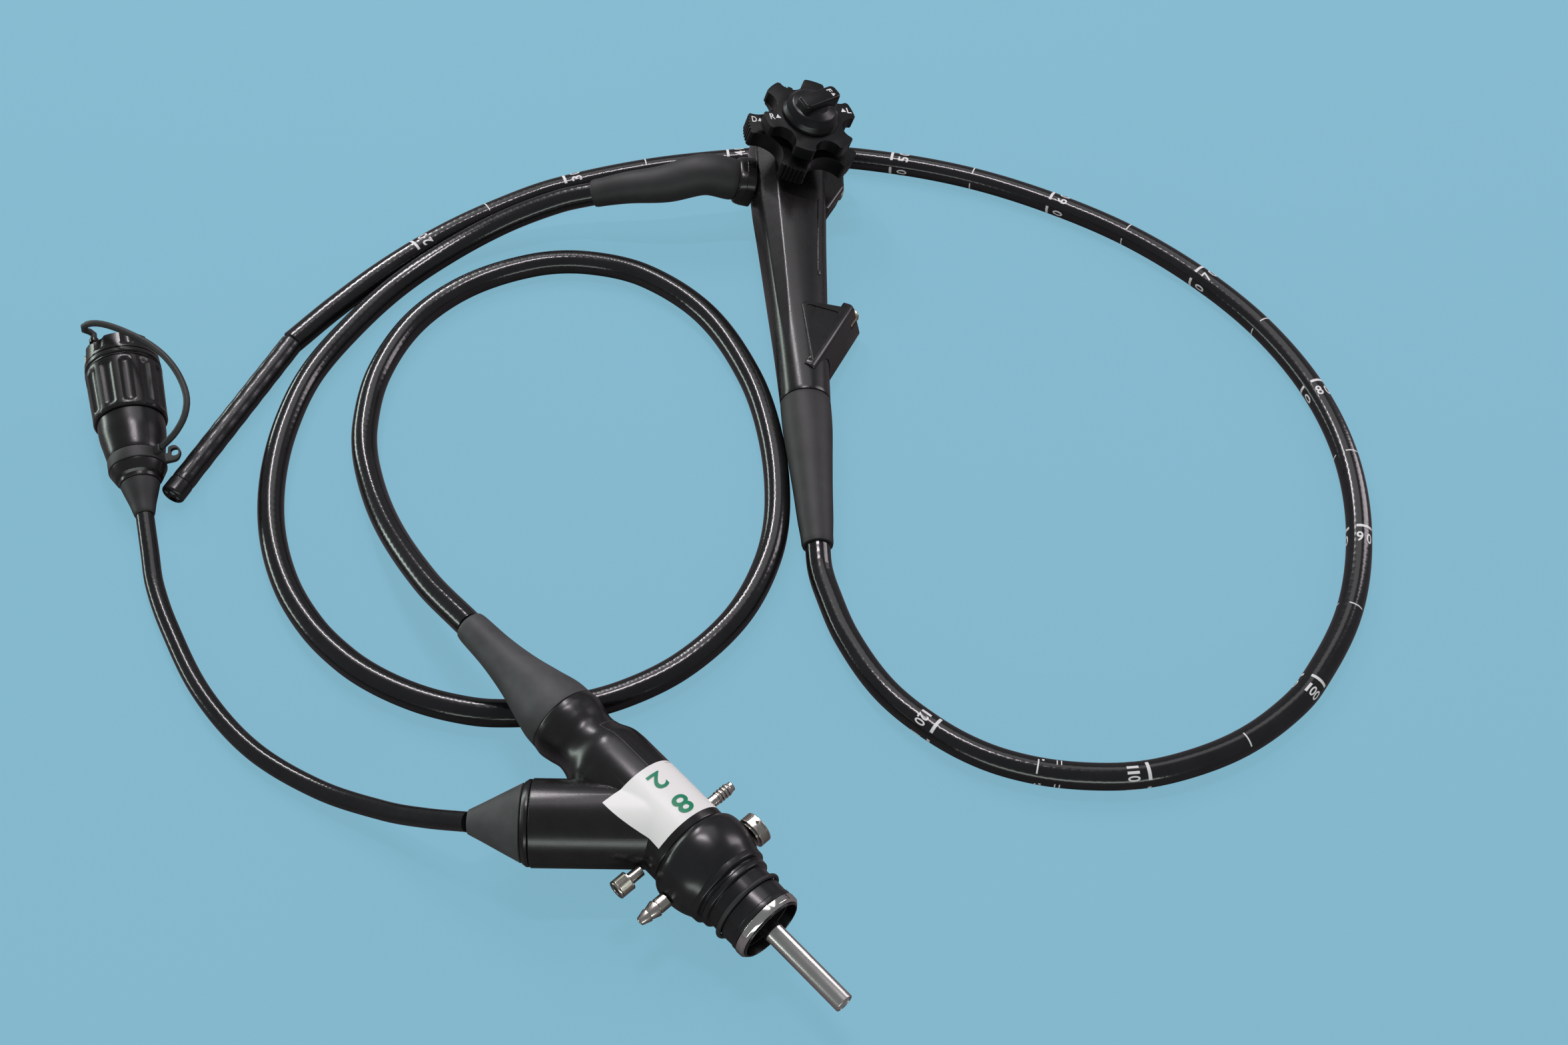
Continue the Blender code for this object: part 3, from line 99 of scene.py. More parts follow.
CORD_ROUTE = [
    (6.6, 217.5, 21.5), (-23.9, 207.9, 15.0), (-53.4, 190.6, 9.5), (-81.2, 164.3, 6.9),
    (-102.8, 131.1, 6.9), (-120.0, 94.2, 6.9), (-127.1, 57.2, 6.9), (-127.4, 20.6, 6.9),
    (-121.3, -14.2, 6.9), (-108.4, -46.8, 6.9), (-91.1, -72.5, 6.9), (-72.8, -90.6, 6.9),
    (-56.2, -102.2, 6.9), (-36.5, -111.8, 6.9), (-17.6, -117.7, 6.9), (1.1, -120.5, 6.9),
    (31.0, -118.8, 6.9), (60.2, -110.6, 6.9), (89.0, -93.5, 6.9), (114.2, -65.4, 6.9),
    (128.9, -31.1, 6.9), (133.6, 3.3, 6.9), (130.0, 49.0, 6.9), (117.9, 94.2, 6.9),
    (92.8, 140.6, 6.9), (57.7, 171.1, 6.9), (23.4, 181.8, 6.9), (-7.1, 179.6, 6.9),
    (-42.6, 162.8, 6.9), (-68.6, 134.5, 6.9), (-83.1, 95.9, 6.9), (-85.1, 57.4, 6.9),
    (-79.0, 26.9, 8.5), (-62.3, -13.8, 14.5), (-35.9, -56.5, 24.0),
]
CABLE_ROUTE = [
    (-179.8, -27.4, 7.9), (-174.3, -45.0, 5.6), (-162.1, -69.7, 4.8), (-138.3, -107.7, 4.8),
    (-108.9, -138.6, 4.8), (-74.5, -160.1, 6.0), (-41.2, -174.5, 12.0), (-20.0, -182.5, 20.0),
]
TETHER_ROUTE = [
    (-173.0, 30.0, 32.5), (-168.8, 38.0, 36.5), (-168.6, 47.4, 40.0),
    (-173.9, 59.3, 43.0), (-181.8, 69.3, 46.0), (-191.7, 77.4, 48.0), (-203.4, 83.5, 50.0),
    (-215.4, 88.7, 50.6), (-223.3, 90.9, 50.0), (-229.2, 91.9, 47.5), (-230.9, 91.9, 44.3),
]


# Curves and outlines
def smooth_value(knots, values, at):
    """A point of the smooth curve through the values, by cubic pieces."""
    last = len(knots) - 1
    index = max(i for i in range(last) if knots[i] <= at or i == 0)
    slopes = []
    for i in (index, index + 1):
        low, high = max(i - 1, 0), min(i + 1, last)
        slopes.append((values[high] - values[low]) / (knots[high] - knots[low]))
    span = knots[index + 1] - knots[index]
    t = min(max((at - knots[index]) / span, 0.0), 1.0)
    return (values[index] * (2 * t**3 - 3 * t**2 + 1) + slopes[0] * span * (t**3 - 2 * t**2 + t)
            + values[index + 1] * (3 * t**2 - 2 * t**3) + slopes[1] * span * (t**3 - t**2))


def smooth_path(points, spacing):
    """Points at an even spacing along the smooth curve through the route's points."""
    knots = [0.0]
    for a, b in zip(points, points[1:]):
        knots.append(knots[-1] + (b - a).length)
    count = max(2, round(knots[-1] / spacing))
    return [smooth_value(knots, points, knots[-1] * i / count) for i in range(count + 1)]


def value_at(stations, at):
    """The smooth curve's value at a place, from (place, value) stations."""
    return smooth_value([place for place, value in stations], [value for place, value in stations], at)


def swell(stations, count):
    """Outline points of a smooth flare through (along, radius) stations."""
    first, last = stations[0][0], stations[-1][0]
    steps = [first + (last - first) * i / count for i in range(count + 1)]
    return [(at, value_at(stations, at)) for at in steps]


def rounded(corners, steps=5):
    """An outline from (along, radius, fillet) corners, each fillet an arc."""
    points = []
    for i, (x, y, fillet) in enumerate(corners):
        here = Vector((x, y))
        before = (Vector(corners[i - 1][:2]) - here)
        after = (Vector(corners[(i + 1) % len(corners)][:2]) - here)
        if fillet <= 0.0:
            points.append((x, y))
            continue
        half = before.angle(after) / 2
        reach = min(fillet / math.tan(half), 0.49 * before.length, 0.49 * after.length)
        radius = reach * math.tan(half)
        centre = here + (before.normalized() + after.normalized()).normalized() * radius / math.sin(half)
        start = here + before.normalized() * reach - centre
        end = here + after.normalized() * reach - centre
        sweep = start.angle_signed(end)
        for k in range(steps + 1):
            turn = -sweep * k / steps
            c, s = math.cos(turn), math.sin(turn)
            points.append((centre.x + start.x * c - start.y * s, centre.y + start.x * s + start.y * c))
    return points


# Materials
DUST = (0.22, 0.21, 0.20)
BRAID_PITCH, BRAID_TURNS = 0.0042, 6


def shade(colour, share):
    return tuple(share * c for c in colour)


class Finish:
    """A material in the making: its shader, and nodes that read the object's own coordinates."""

    def __init__(self, name, **inputs):
        self.material = bpy.data.materials.new(name)
        self.material.use_nodes = True
        self.nodes = self.material.node_tree.nodes
        self.shader = self.nodes["Principled BSDF"]
        self.feed(self.shader, **inputs)
        self.place = self.nodes.new("ShaderNodeTexCoord").outputs["Object"]

    def fill(self, socket, value):
        """A socket linked to another node, or set to a number or a colour."""
        if isinstance(value, bpy.types.NodeSocket):
            self.material.node_tree.links.new(value, socket)
        else:
            socket.default_value = (*value, 1.0) if isinstance(value, tuple) else value

    def feed(self, node, **inputs):
        for name, value in inputs.items():
            self.fill(node.inputs[name.replace("_", " ")], value)
        return node

    def add(self, kind, **inputs):
        return self.feed(self.nodes.new("ShaderNode" + kind), **inputs)

    def noise(self, scale, detail=2.0, roughness=0.5):
        return self.add("TexNoise", Scale=scale, Detail=detail, Roughness=roughness,
                        Vector=self.place).outputs["Fac"]

    def remap(self, value, low, high, to_low, to_high):
        return self.add("MapRange", From_Min=low, From_Max=high, To_Min=to_low, To_Max=to_high,
                        Value=value).outputs["Result"]

    def reckon(self, operation, first, second=0.0):
        """A Math node's value from two values or numbers."""
        node = self.nodes.new("ShaderNodeMath")
        node.operation = operation
        self.fill(node.inputs[0], first)
        self.fill(node.inputs[1], second)
        return node.outputs["Value"]

    def blend(self, factor, first, second):
        """A colour between two colours."""
        mix = self.nodes.new("ShaderNodeMix")
        mix.data_type = "RGBA"
        return self.feed(mix, Factor=factor, A=first, B=second).outputs["Result"]

    def mottled(self, scale, colour, dark, light):
        """A colour that wanders between a darker and a lighter shade of itself."""
        patches = self.remap(self.noise(scale, 3.0, 0.6), 0.3, 0.7, 0.0, 1.0)
        return self.blend(patches, shade(colour, dark), shade(colour, light))

    def relief(self, *layers):
        """Bumps laid over each other, from (height, depth in metres) layers."""
        normal = None
        for height, depth in layers:
            bump = self.add("Bump", Strength=1.0, Distance=depth, Height=height)
            if normal:
                self.feed(bump, Normal=normal)
            normal = bump.outputs["Normal"]
        self.feed(self.shader, Normal=normal)


def moulded(name, colour, roughness, grain=12e-6, grain_size=0.45, dust=0.0, spread=0.03, specular=0.5):
    """Moulded plastic or rubber: fine grain, uneven gloss and a little dust."""
    finish = Finish(name, Specular_IOR_Level=specular)
    tone = finish.mottled(70.0, colour, 0.78, 1.3)
    smears = finish.noise(190.0, 4.0, 0.65)
    gloss = finish.remap(smears, 0.3, 0.7, roughness - spread / 2, roughness + spread / 2)
    if dust > 0.0:
        cells = finish.add("TexVoronoi", Scale=420.0, Randomness=1.0, Vector=finish.place)
        spots = finish.remap(cells.outputs["Distance"], 0.05, 0.10, 1.0, 0.0)
        picked = finish.remap(cells.outputs["Color"], 0.84, 0.9, 0.0, dust)
        tone = finish.blend(finish.reckon("MULTIPLY", spots, picked), tone, DUST)
    finish.feed(finish.shader, Base_Color=tone, Roughness=gloss)
    fine, broad = finish.noise(1000.0 / grain_size), finish.noise(110.0, 1.0)
    finish.relief((broad, grain), (fine, grain))
    return finish.material


def sheath(name, colour, roughness, depth=30e-6, weave=12e-6):
    """A glossy sheath over a braid: the weave shows as a ripple in its gloss."""
    finish = Finish(name)
    split = finish.add("SeparateXYZ", Vector=finish.add("UVMap").outputs["UV"])
    tone = finish.mottled(60.0, colour, 0.8, 1.25)
    smears = finish.noise(240.0, 4.0, 0.65)
    gloss = finish.remap(smears, 0.3, 0.7, roughness * 0.85, roughness * 1.15)
    finish.feed(finish.shader, Base_Color=tone, Roughness=gloss)
    waves = []
    for sign in (1.0, -1.0):
        along = finish.reckon("MULTIPLY", split.outputs["X"], 2 * math.pi / BRAID_PITCH)
        around = finish.reckon("MULTIPLY", split.outputs["Y"], sign * 2 * math.pi * BRAID_TURNS)
        waves.append(finish.reckon("SINE", finish.reckon("ADD", along, around)))
    braid = finish.reckon("MAXIMUM", *waves)
    ripple, slow = finish.noise(420.0), finish.noise(95.0, 1.0)
    finish.relief((slow, depth * 1.5), (ripple, depth * 0.6), (braid, weave))
    return finish.material


def metal(name, colour, roughness, scratches=1.2e-6):
    """Metal with fine lines in its gloss and a slight uneven tone."""
    finish = Finish(name, Metallic=1.0)
    tone = finish.blend(finish.noise(120.0, 3.0, 0.6), shade(colour, 0.86), shade(colour, 1.08))
    fine = finish.noise(1400.0)
    gloss = finish.remap(fine, 0.3, 0.7, roughness * 0.97, roughness * 1.03)
    finish.feed(finish.shader, Base_Color=tone, Roughness=gloss)
    finish.relief((fine, scratches))
    return finish.material


def paper(name, colour):
    """Smooth coated paper or print, a little soiled."""
    finish = Finish(name, Roughness=0.42)
    soil = finish.remap(finish.noise(130.0, 5.0, 0.7), 0.62, 0.8, 0.0, 0.5)
    finish.feed(finish.shader, Base_Color=finish.blend(soil, colour, shade(colour, 0.72)))
    finish.relief((finish.noise(90.0), 80e-6), (finish.noise(1500.0, 3.0, 0.6), 6e-6))
    return finish.material


def glass(name, tint):
    """Coated glass whose tint isn't quite even."""
    finish = Finish(name, Roughness=0.05, Coat_Weight=1.0)
    finish.feed(finish.shader, Base_Color=finish.blend(finish.noise(400.0), shade(tint, 0.8), tint))
    return finish.material


FINISHES = (
    (moulded, "satin_black", (0.010, 0.0092, 0.0095), 0.27, 2e-6, 0.4, 0.5),
    (moulded, "knob_black", (0.006, 0.006, 0.0065), 0.30, 3e-6, 0.4, 0.25, 0.03, 0.32),
    (moulded, "gloss_black", (0.011, 0.011, 0.0115), 0.25, 1e-6, 0.6, 0.25, 0.02),
    (moulded, "boot_rubber", (0.021, 0.021, 0.0215), 0.58, 16e-6, 0.35, 0.3),
    (moulded, "cone_rubber", (0.052, 0.053, 0.054), 0.60, 16e-6, 0.35, 0.3),
    (moulded, "switch_rubber", (0.020, 0.020, 0.021), 0.60, 15e-6, 0.35),
    (moulded, "plate_line", (0.09, 0.085, 0.085), 0.4),
    (sheath, "sheath_black", (0.010, 0.0098, 0.0105), 0.17),
    (sheath, "cover_black", (0.011, 0.011, 0.012), 0.24, 25e-6, 6e-6),
    (metal, "steel", (0.62, 0.58, 0.53), 0.26),
    (metal, "rod_steel", (0.66, 0.64, 0.61), 0.27, 0.0),
    (metal, "polished_steel", (0.80, 0.78, 0.74), 0.10, 0.4e-6),
    (metal, "brass", (0.70, 0.62, 0.45), 0.26),
    (glass, "glass", (0.20, 0.23, 0.25)),
    (paper, "print_white", (0.78, 0.78, 0.78)),
    (paper, "label_white", (0.93, 0.93, 0.90)),
    (paper, "label_green", (0.0, 0.25, 0.12)),
)
LOOKS = {}


# Solids
AXIS_VECTORS = {"X": (1, 0, 0), "Y": (0, 1, 0), "Z": (0, 0, 1)}


def turned_mesh(outline, axis="X", steps=96, at=(0, 0, 0)):
    """A closed (along, radius) outline in millimetres spun about an axis through the point."""
    mesh = bmesh.new()
    verts = []
    for along, radius in outline:
        point = {"X": (along, 0, radius), "Y": (radius, along, 0), "Z": (radius, 0, along)}[axis]
        verts.append(mesh.verts.new((Vector(point) + Vector(at)) * MM))
    edges = []
    for i, vert in enumerate(verts):
        following = (i + 1) % len(verts)
        if outline[i][1] > 0.0 or outline[following][1] > 0.0:
            edges.append(mesh.edges.new((vert, verts[following])))
    bmesh.ops.spin(mesh, geom=verts + edges, cent=Vector(at) * MM, axis=AXIS_VECTORS[axis],
                   angle=2 * math.pi, steps=steps)
    bmesh.ops.remove_doubles(mesh, verts=mesh.verts, dist=1e-7)
    return mesh


def tube_outline(start, end, inner, outer, chamfer=0.0):
    return rounded([(start, inner, 0), (start, outer, chamfer), (end, outer, chamfer), (end, inner, 0)], 3)


def lofted_mesh(rings):
    """A skin over rings of equal point counts, points in millimetres."""
    mesh = bmesh.new()
    loops = [[mesh.verts.new(Vector(point) * MM) for point in ring] for ring in rings]
    for lower, upper in zip(loops, loops[1:]):
        for i in range(len(lower)):
            j = (i + 1) % len(lower)
            mesh.faces.new((lower[i], lower[j], upper[j], upper[i]))
    mesh.faces.new(reversed(loops[0]))
    mesh.faces.new(loops[-1])
    return mesh


def prism_mesh(outline, low, high, axis="Z"):
    """A flat outline carried from low to high along an axis."""
    def point(u, v, w):
        return {"X": (w, u, v), "Y": (u, w, v), "Z": (u, v, w)}[axis]
    return lofted_mesh([[point(u, v, level) for u, v in outline] for level in (low, high)])


def mesh_data(name, mesh):
    """A bmesh as mesh data; the bmesh is freed."""
    data = bpy.data.meshes.new(name)
    mesh.to_mesh(data)
    mesh.free()
    return data


def linked(name, data):
    thing = bpy.data.objects.new(name, data)
    bpy.context.collection.objects.link(thing)
    return thing


def piece(name, mesh, look, place=None, body=ROOT, stands_for=(), sharp=SHARP_ANGLE):
    """A finished piece that rides on a body and stands for CAD nodes."""
    bmesh.ops.recalc_face_normals(mesh, faces=mesh.faces)
    data = mesh_data(name, mesh)
    if place is not None:
        data.transform(place)
    data.shade_smooth()
    data.set_sharp_from_angle(angle=math.radians(sharp))
    data.materials.append(LOOKS[look])
    thing = linked(name, data)
    if body:
        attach(thing, body)
    if stands_for:
        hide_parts(*stands_for)
    return thing


def evaluated(thing):
    """New mesh data of an object with its modifiers or its text made real."""
    bpy.context.view_layer.update()
    source = thing.evaluated_get(bpy.context.evaluated_depsgraph_get())
    return bpy.data.meshes.new_from_object(source)


def settled(thing):
    """Modifiers made part of the mesh."""
    data = evaluated(thing)
    thing.modifiers.clear()
    old = thing.data
    thing.data = data
    bpy.data.meshes.remove(old)
    thing.data.set_sharp_from_angle(angle=math.radians(SHARP_ANGLE))
    return thing


def bevelled(thing, width, segments=3, angle=40.0):
    modifier = thing.modifiers.new("edges", "BEVEL")
    modifier.width = width * MM
    modifier.segments = segments
    modifier.limit_method = "ANGLE"
    modifier.angle_limit = math.radians(angle)
    return settled(thing)


def combined(target, mesh, operation, place, bevel=0.0, segments=3):
    """A Boolean with a shape that is then removed."""
    tool = piece("tool_shape", mesh, "satin_black", place, None)
    if bevel > 0.0:
        bevelled(tool, bevel, segments)
    modifier = target.modifiers.new("shape", "BOOLEAN")
    modifier.operation = operation
    modifier.object = tool
    modifier.solver = "EXACT"
    settled(target)
    bpy.data.objects.remove(tool, do_unlink=True)
    return target


def cut(target, mesh, place):
    return combined(target, mesh, "DIFFERENCE", place)


def join(target, mesh, place, bevel=0.0, segments=3):
    return combined(target, mesh, "UNION", place, bevel, segments)


def spun(name, node, outline, steps, look, place, body=ROOT, axis="X", at=(0, 0, 0)):
    """A turned piece that stands for a CAD node."""
    return piece(name, turned_mesh(outline, axis, steps, at), look, place, body, (node,))


def drill(target, tube, steps, place, axis="X", at=(0, 0, 0)):
    """A hole or groove, from its start, end, inner and outer radius and perhaps a chamfer."""
    return cut(target, turned_mesh(tube_outline(*tube), axis, steps, at), place)


# Cords
def sweep_mesh(path, radii, sides=32):
    """A round tube along a path in metres, with UV: metres along, turns round from the top."""
    mesh = bmesh.new()
    layer = mesh.loops.layers.uv.new("UVMap")
    rings, lengths, travelled = [], [], 0.0
    across = None
    for i, point in enumerate(path):
        ahead = (path[min(i + 1, len(path) - 1)] - path[max(i - 1, 0)]).normalized()
        if across is None:
            across = ahead.cross(Vector((0, 0, 1))).normalized()
        across = (across - ahead * across.dot(ahead)).normalized()
        upward = across.cross(ahead)
        if i:
            travelled += (point - path[i - 1]).length
        radius = radii[i] if hasattr(radii, "__len__") else radii
        ring = []
        for k in range(sides):
            angle = 2 * math.pi * k / sides
            outward = upward * math.cos(angle) + across * math.sin(angle)
            ring.append(mesh.verts.new(point + outward * radius))
        rings.append(ring)
        lengths.append(travelled)
    for i in range(len(rings) - 1):
        for k in range(sides):
            j = (k + 1) % sides
            face = mesh.faces.new((rings[i][k], rings[i][j], rings[i + 1][j], rings[i + 1][k]))
            turns = (k / sides, (k + 1) / sides, (k + 1) / sides, k / sides)
            reach = (lengths[i], lengths[i], lengths[i + 1], lengths[i + 1])
            for loop, u, v in zip(face.loops, reach, turns):
                loop[layer].uv = (u, v)
    mesh.faces.new(reversed(rings[0]))
    mesh.faces.new(rings[-1])
    return mesh


def lay_cord(name, node, route, radius, look="sheath_black"):
    """A cord laid along its route in metres from its exit; its path comes back."""
    path = smooth_path(route, 3.0 * MM)
    thing = piece(name, sweep_mesh(path, radius * MM), look, stands_for=(node,), sharp=60.0)
    return path


def scaled(route):
    return [Vector(p) * MM for p in route]


def world(matrix, x, y, z):
    return matrix @ (Vector((x, y, z)) * MM)


# Camera, light and table
CAMERA_DIP = 52.01      # degrees below the horizon
LIGHT_TARGET = Vector((0.1, 0.05, 0.0))
LIGHTS = (              # name, place, size, power, colour
    ("lamp_above", (0.10, 0.42, 1.50), (0.50, 0.05), 7.0, (1.0, 0.92, 0.97)),
    ("left_strip", (-0.36, 1.10, 1.12), (0.05, 0.60), 7.0, (1.0, 0.95, 0.98)),
    ("left_panel", (-1.45, 0.60, 0.20), (1.60, 0.22), 10.0, (0.86, 1.0, 0.92)),
    ("front_panel", (0.10, -1.50, 0.28), (2.00, 0.26), 8.0, (0.90, 1.0, 0.94)),
    ("right_panel", (1.35, 0.70, 0.55), (0.35, 0.80), 5.0, (1.0, 0.90, 0.96)),
    ("back_softbox", (0.10, 1.25, 1.65), (1.80, 0.90), 6.5, (1.0, 0.97, 0.99)),
)


def set_stage():
    scene = bpy.context.scene
    scene.view_settings.view_transform = "Standard"
    camera = bpy.data.objects.new("camera", bpy.data.cameras.new("camera"))
    camera.data.lens = 39.9
    camera.data.sensor_width = 36.0
    camera.data.clip_end = 20.0
    camera.location = (0.137, -0.55, 0.7015)
    camera.rotation_euler = (math.radians(90.0 - CAMERA_DIP), 0.0, 0.0)
    scene.collection.objects.link(camera)
    scene.camera = camera

    mesh = bmesh.new()
    bmesh.ops.create_grid(mesh, x_segments=1, y_segments=1, size=4.0)
    floor = linked("table_top", mesh_data("table_top", mesh))
    floor.location.z = -0.0002
    finish = Finish("table_blue", Roughness=0.9, Specular_IOR_Level=0.0)
    seen = finish.add("LightPath").outputs["Is Camera Ray"]
    finish.feed(finish.shader, Base_Color=finish.blend(seen, FLOOR_GREY, FLOOR_BLUE))
    glow = finish.add("Emission", Color=FLOOR_BLUE, Strength=1.0)
    mix = finish.add("MixShader", Fac=finish.reckon("MULTIPLY", seen, FLOOR_GLOW))
    finish.fill(mix.inputs[1], finish.shader.outputs["BSDF"])
    finish.fill(mix.inputs[2], glow.outputs["Emission"])
    finish.feed(finish.nodes["Material Output"], Surface=mix.outputs["Shader"])
    floor.data.materials.append(finish.material)

    for name, place, size, power, colour in LIGHTS:
        data = bpy.data.lights.new(name, "AREA")
        data.shape = "RECTANGLE"
        data.size, data.size_y = size
        data.energy = power
        data.color = colour
        lamp = bpy.data.objects.new(name, data)
        lamp.location = place
        lamp.rotation_euler = (LIGHT_TARGET - Vector(place)).to_track_quat("-Z", "Y").to_euler()
        scene.collection.objects.link(lamp)

    surroundings = bpy.data.worlds.new("studio")
    surroundings.use_nodes = True
    background = surroundings.node_tree.nodes["Background"]
    background.inputs["Color"].default_value = (0.9, 0.95, 1.0, 1.0)
    background.inputs["Strength"].default_value = 0.22
    scene.world = surroundings


# Control section
BODY_SLOPE = Vector((2.8, 0.0, -15.0)) / 267.5
FACET_LIMIT = 1.045     # how far out the flat facet down the grip's left side lies
HEAD_END, HEAD_SEAM, GRIP_SEAM, BOOT_END = 28.0, -36.0, -175.5, -267.5
GRIP_STATIONS = ((HEAD_SEAM - 0.6, 20.58, 16.88, 2.9), (-62.0, 18.9, 16.0, 2.8), (-105.0, 16.5, 14.8, 2.6),
                 (-140.0, 14.7, 14.0, 2.3), (GRIP_SEAM + 0.8, 13.45, 13.45, 2.0))
RAIL_ENDS = ((-34.0, 13.2), (-93.0, 8.6))       # (y, x) of the raised strip on the grip's upper right
VALVES = (("suction_cylinder", 9.0), ("air_water_cylinder", -7.5))      # name, y
SWITCHES = ((-8.0, 3.5), (0.0, 4.5), (8.0, 3.5))        # (x, z) on the head's end


def superellipse(i, count, roundness):
    """Point i of count round a superellipse of half width and half depth 1."""
    angle = 2 * math.pi * i / count
    c, s = math.cos(angle), math.sin(angle)
    return math.copysign(abs(c) ** (2 / roundness), c), math.copysign(abs(s) ** (2 / roundness), s)


def body_ring(y, half_width, half_depth, roundness=2.9, faceted=True, count=120):
    """A ring of the control body: a superellipse with a flat facet on its upper left."""
    centre = Vector((0.0, y, 0.0)) + BODY_SLOPE * y
    ring = []
    for i in range(count):
        u, w = superellipse(i, count, roundness)
        over = (w - u) / math.sqrt(2) - FACET_LIMIT
        if faceted and over > 0.0:
            u += over / math.sqrt(2)
            w -= over / math.sqrt(2)
        ring.append(centre + Vector((half_width * u, 0.0, half_depth * w)))
    return ring


def body_section(stations, y):
    """Half width, half depth and roundness at y, from stations of y and these three."""
    values = [Vector(station[1:]) for station in stations]
    return smooth_value([-station[0] for station in stations], values, -y)


def body_rings(stations, count, faceted=True):
    first, last = -stations[0][0], -stations[-1][0]
    rings = []
    for i in range(count + 1):
        y = -(first + (last - first) * i / count)
        rings.append(body_ring(y, *body_section(stations, y), faceted))
    return rings


def edge_rings(y, inward, half_width, half_depth, roundness, width=0.5):
    """Two rings that round a body shell's end: the inset rim and the full section behind it."""
    return [body_ring(y + inward * share, half_width - inset, half_depth - inset, roundness)
            for share, inset in ((0.0, width), (width * 0.3, width * 0.3))]


def switch_place(x, z):
    return x + BODY_SLOPE.x * HEAD_END, HEAD_END, z + BODY_SLOPE.z * HEAD_END


def control_body():
    head_stations = [
        (27.4, 12.2, 11.1, 2.4), (25.5, 16.2, 13.8, 2.6), (20.0, 20.0, 16.4, 2.8),
        (0.0, 21.6, 17.5, 3.0), (HEAD_SEAM + 0.6, 20.62, 16.92, 2.9),
    ]
    rings = ([body_ring(28.0, 9.9, 8.9, 2.3), body_ring(27.85, 11.2, 10.2, 2.35)]
             + body_rings(head_stations, 36) + edge_rings(HEAD_SEAM + 0.05, 1, 20.6, 16.9, 2.9, 0.06)[::-1])
    head = piece("head_shell", lofted_mesh(rings), "satin_black", CONTROL, stands_for=("head_housing",))
    valve_outline = ((12, -33.5), (22, -33.0), (33.2, -13.0), (34.0, 3.0), (32.0, 14.5), (25, 20.0),
                     (12, 20.5))
    block = rounded([(u, v, 3.5 if u > 12 else 0) for u, v in valve_outline], 8)
    join(head, prism_mesh(block, -9.5, 8.5), CONTROL, 2.2, 5)
    for name, y in VALVES:
        bore = rounded([(15.7, 0, 0), (15.7, 5.9, 0), (33.3, 5.9, 0.2), (33.7, 6.6, 0.4), (60, 6.6, 0),
                        (60, 0, 0)])
        cut(head, turned_mesh(bore, "X", 64, (0, y, -0.5)), CONTROL)
    drill(head, (5.7, 60, 0.0, 4.3), 48, CONTROL, "Z")
    drill(head, (18.0, 18.3, 5.0, 15.6), 96, CONTROL, "Z")
    for x, z in SWITCHES:
        drill(head, (-2.1, 5.0, 0.0, 3.2), 40, CONTROL, "Y", switch_place(x, z))

    rings = (edge_rings(HEAD_SEAM - 0.05, -1, 20.6, 16.9, 2.9, 0.06) + body_rings(GRIP_STATIONS, 72)
             + edge_rings(GRIP_SEAM + 0.2, 1, 13.4, 13.4, 2.0, 0.4)[::-1])
    piece("grip_shell", lofted_mesh(rings), "satin_black", CONTROL, stands_for=("grip_housing",))


def grip_top(y, x):
    """The grip's upper surface at a place, in the control frame."""
    width, depth, roundness = body_section(GRIP_STATIONS, y)
    share = min(1.0, abs(x - BODY_SLOPE.x * y) / width)
    return BODY_SLOPE.z * y + depth * (1.0 - share ** roundness) ** (1.0 / roundness)


def grip_rail():
    """The raised strip along the right of the grip."""
    rings = []
    for k in range(17):
        y, x = (a + (b - a) * k / 16 for a, b in zip(*RAIL_ENDS))
        half = 1.1 if 0 < k < 16 else 0.6
        low, high = grip_top(y, x - half), grip_top(y, x + half)
        rings.append([Vector((x - half, y, low - 0.8)), Vector((x + half, y, high - 0.8)),
                      Vector((x + half, y, high + 0.55)), Vector((x - half, y, low + 0.55))])
    bevelled(piece("grip_rail", lofted_mesh(rings), "satin_black", CONTROL), 0.3, 3)


def valves():
    outline = rounded([
        (16.0, 0, 0), (16.0, 5.6, 0), (30.4, 5.6, 0), (30.4, 5.3, 0.1), (31.2, 5.3, 0.1), (31.2, 5.6, 0.1),
        (34.4, 5.6, 0.5), (34.4, 4.4, 0.4), (32.4, 4.4, 0), (32.2, 4.6, 0), (31.8, 4.6, 0), (31.6, 4.4, 0),
        (18.6, 4.4, 0.4), (18.0, 3.4, 0.3), (18.0, 1.3, 0.2), (17.0, 1.3, 0), (17.0, 0, 0)])
    for name, y in VALVES:
        spun(name + "_bright", name, outline, 72, "steel", CONTROL, at=(0, y, -0.5))


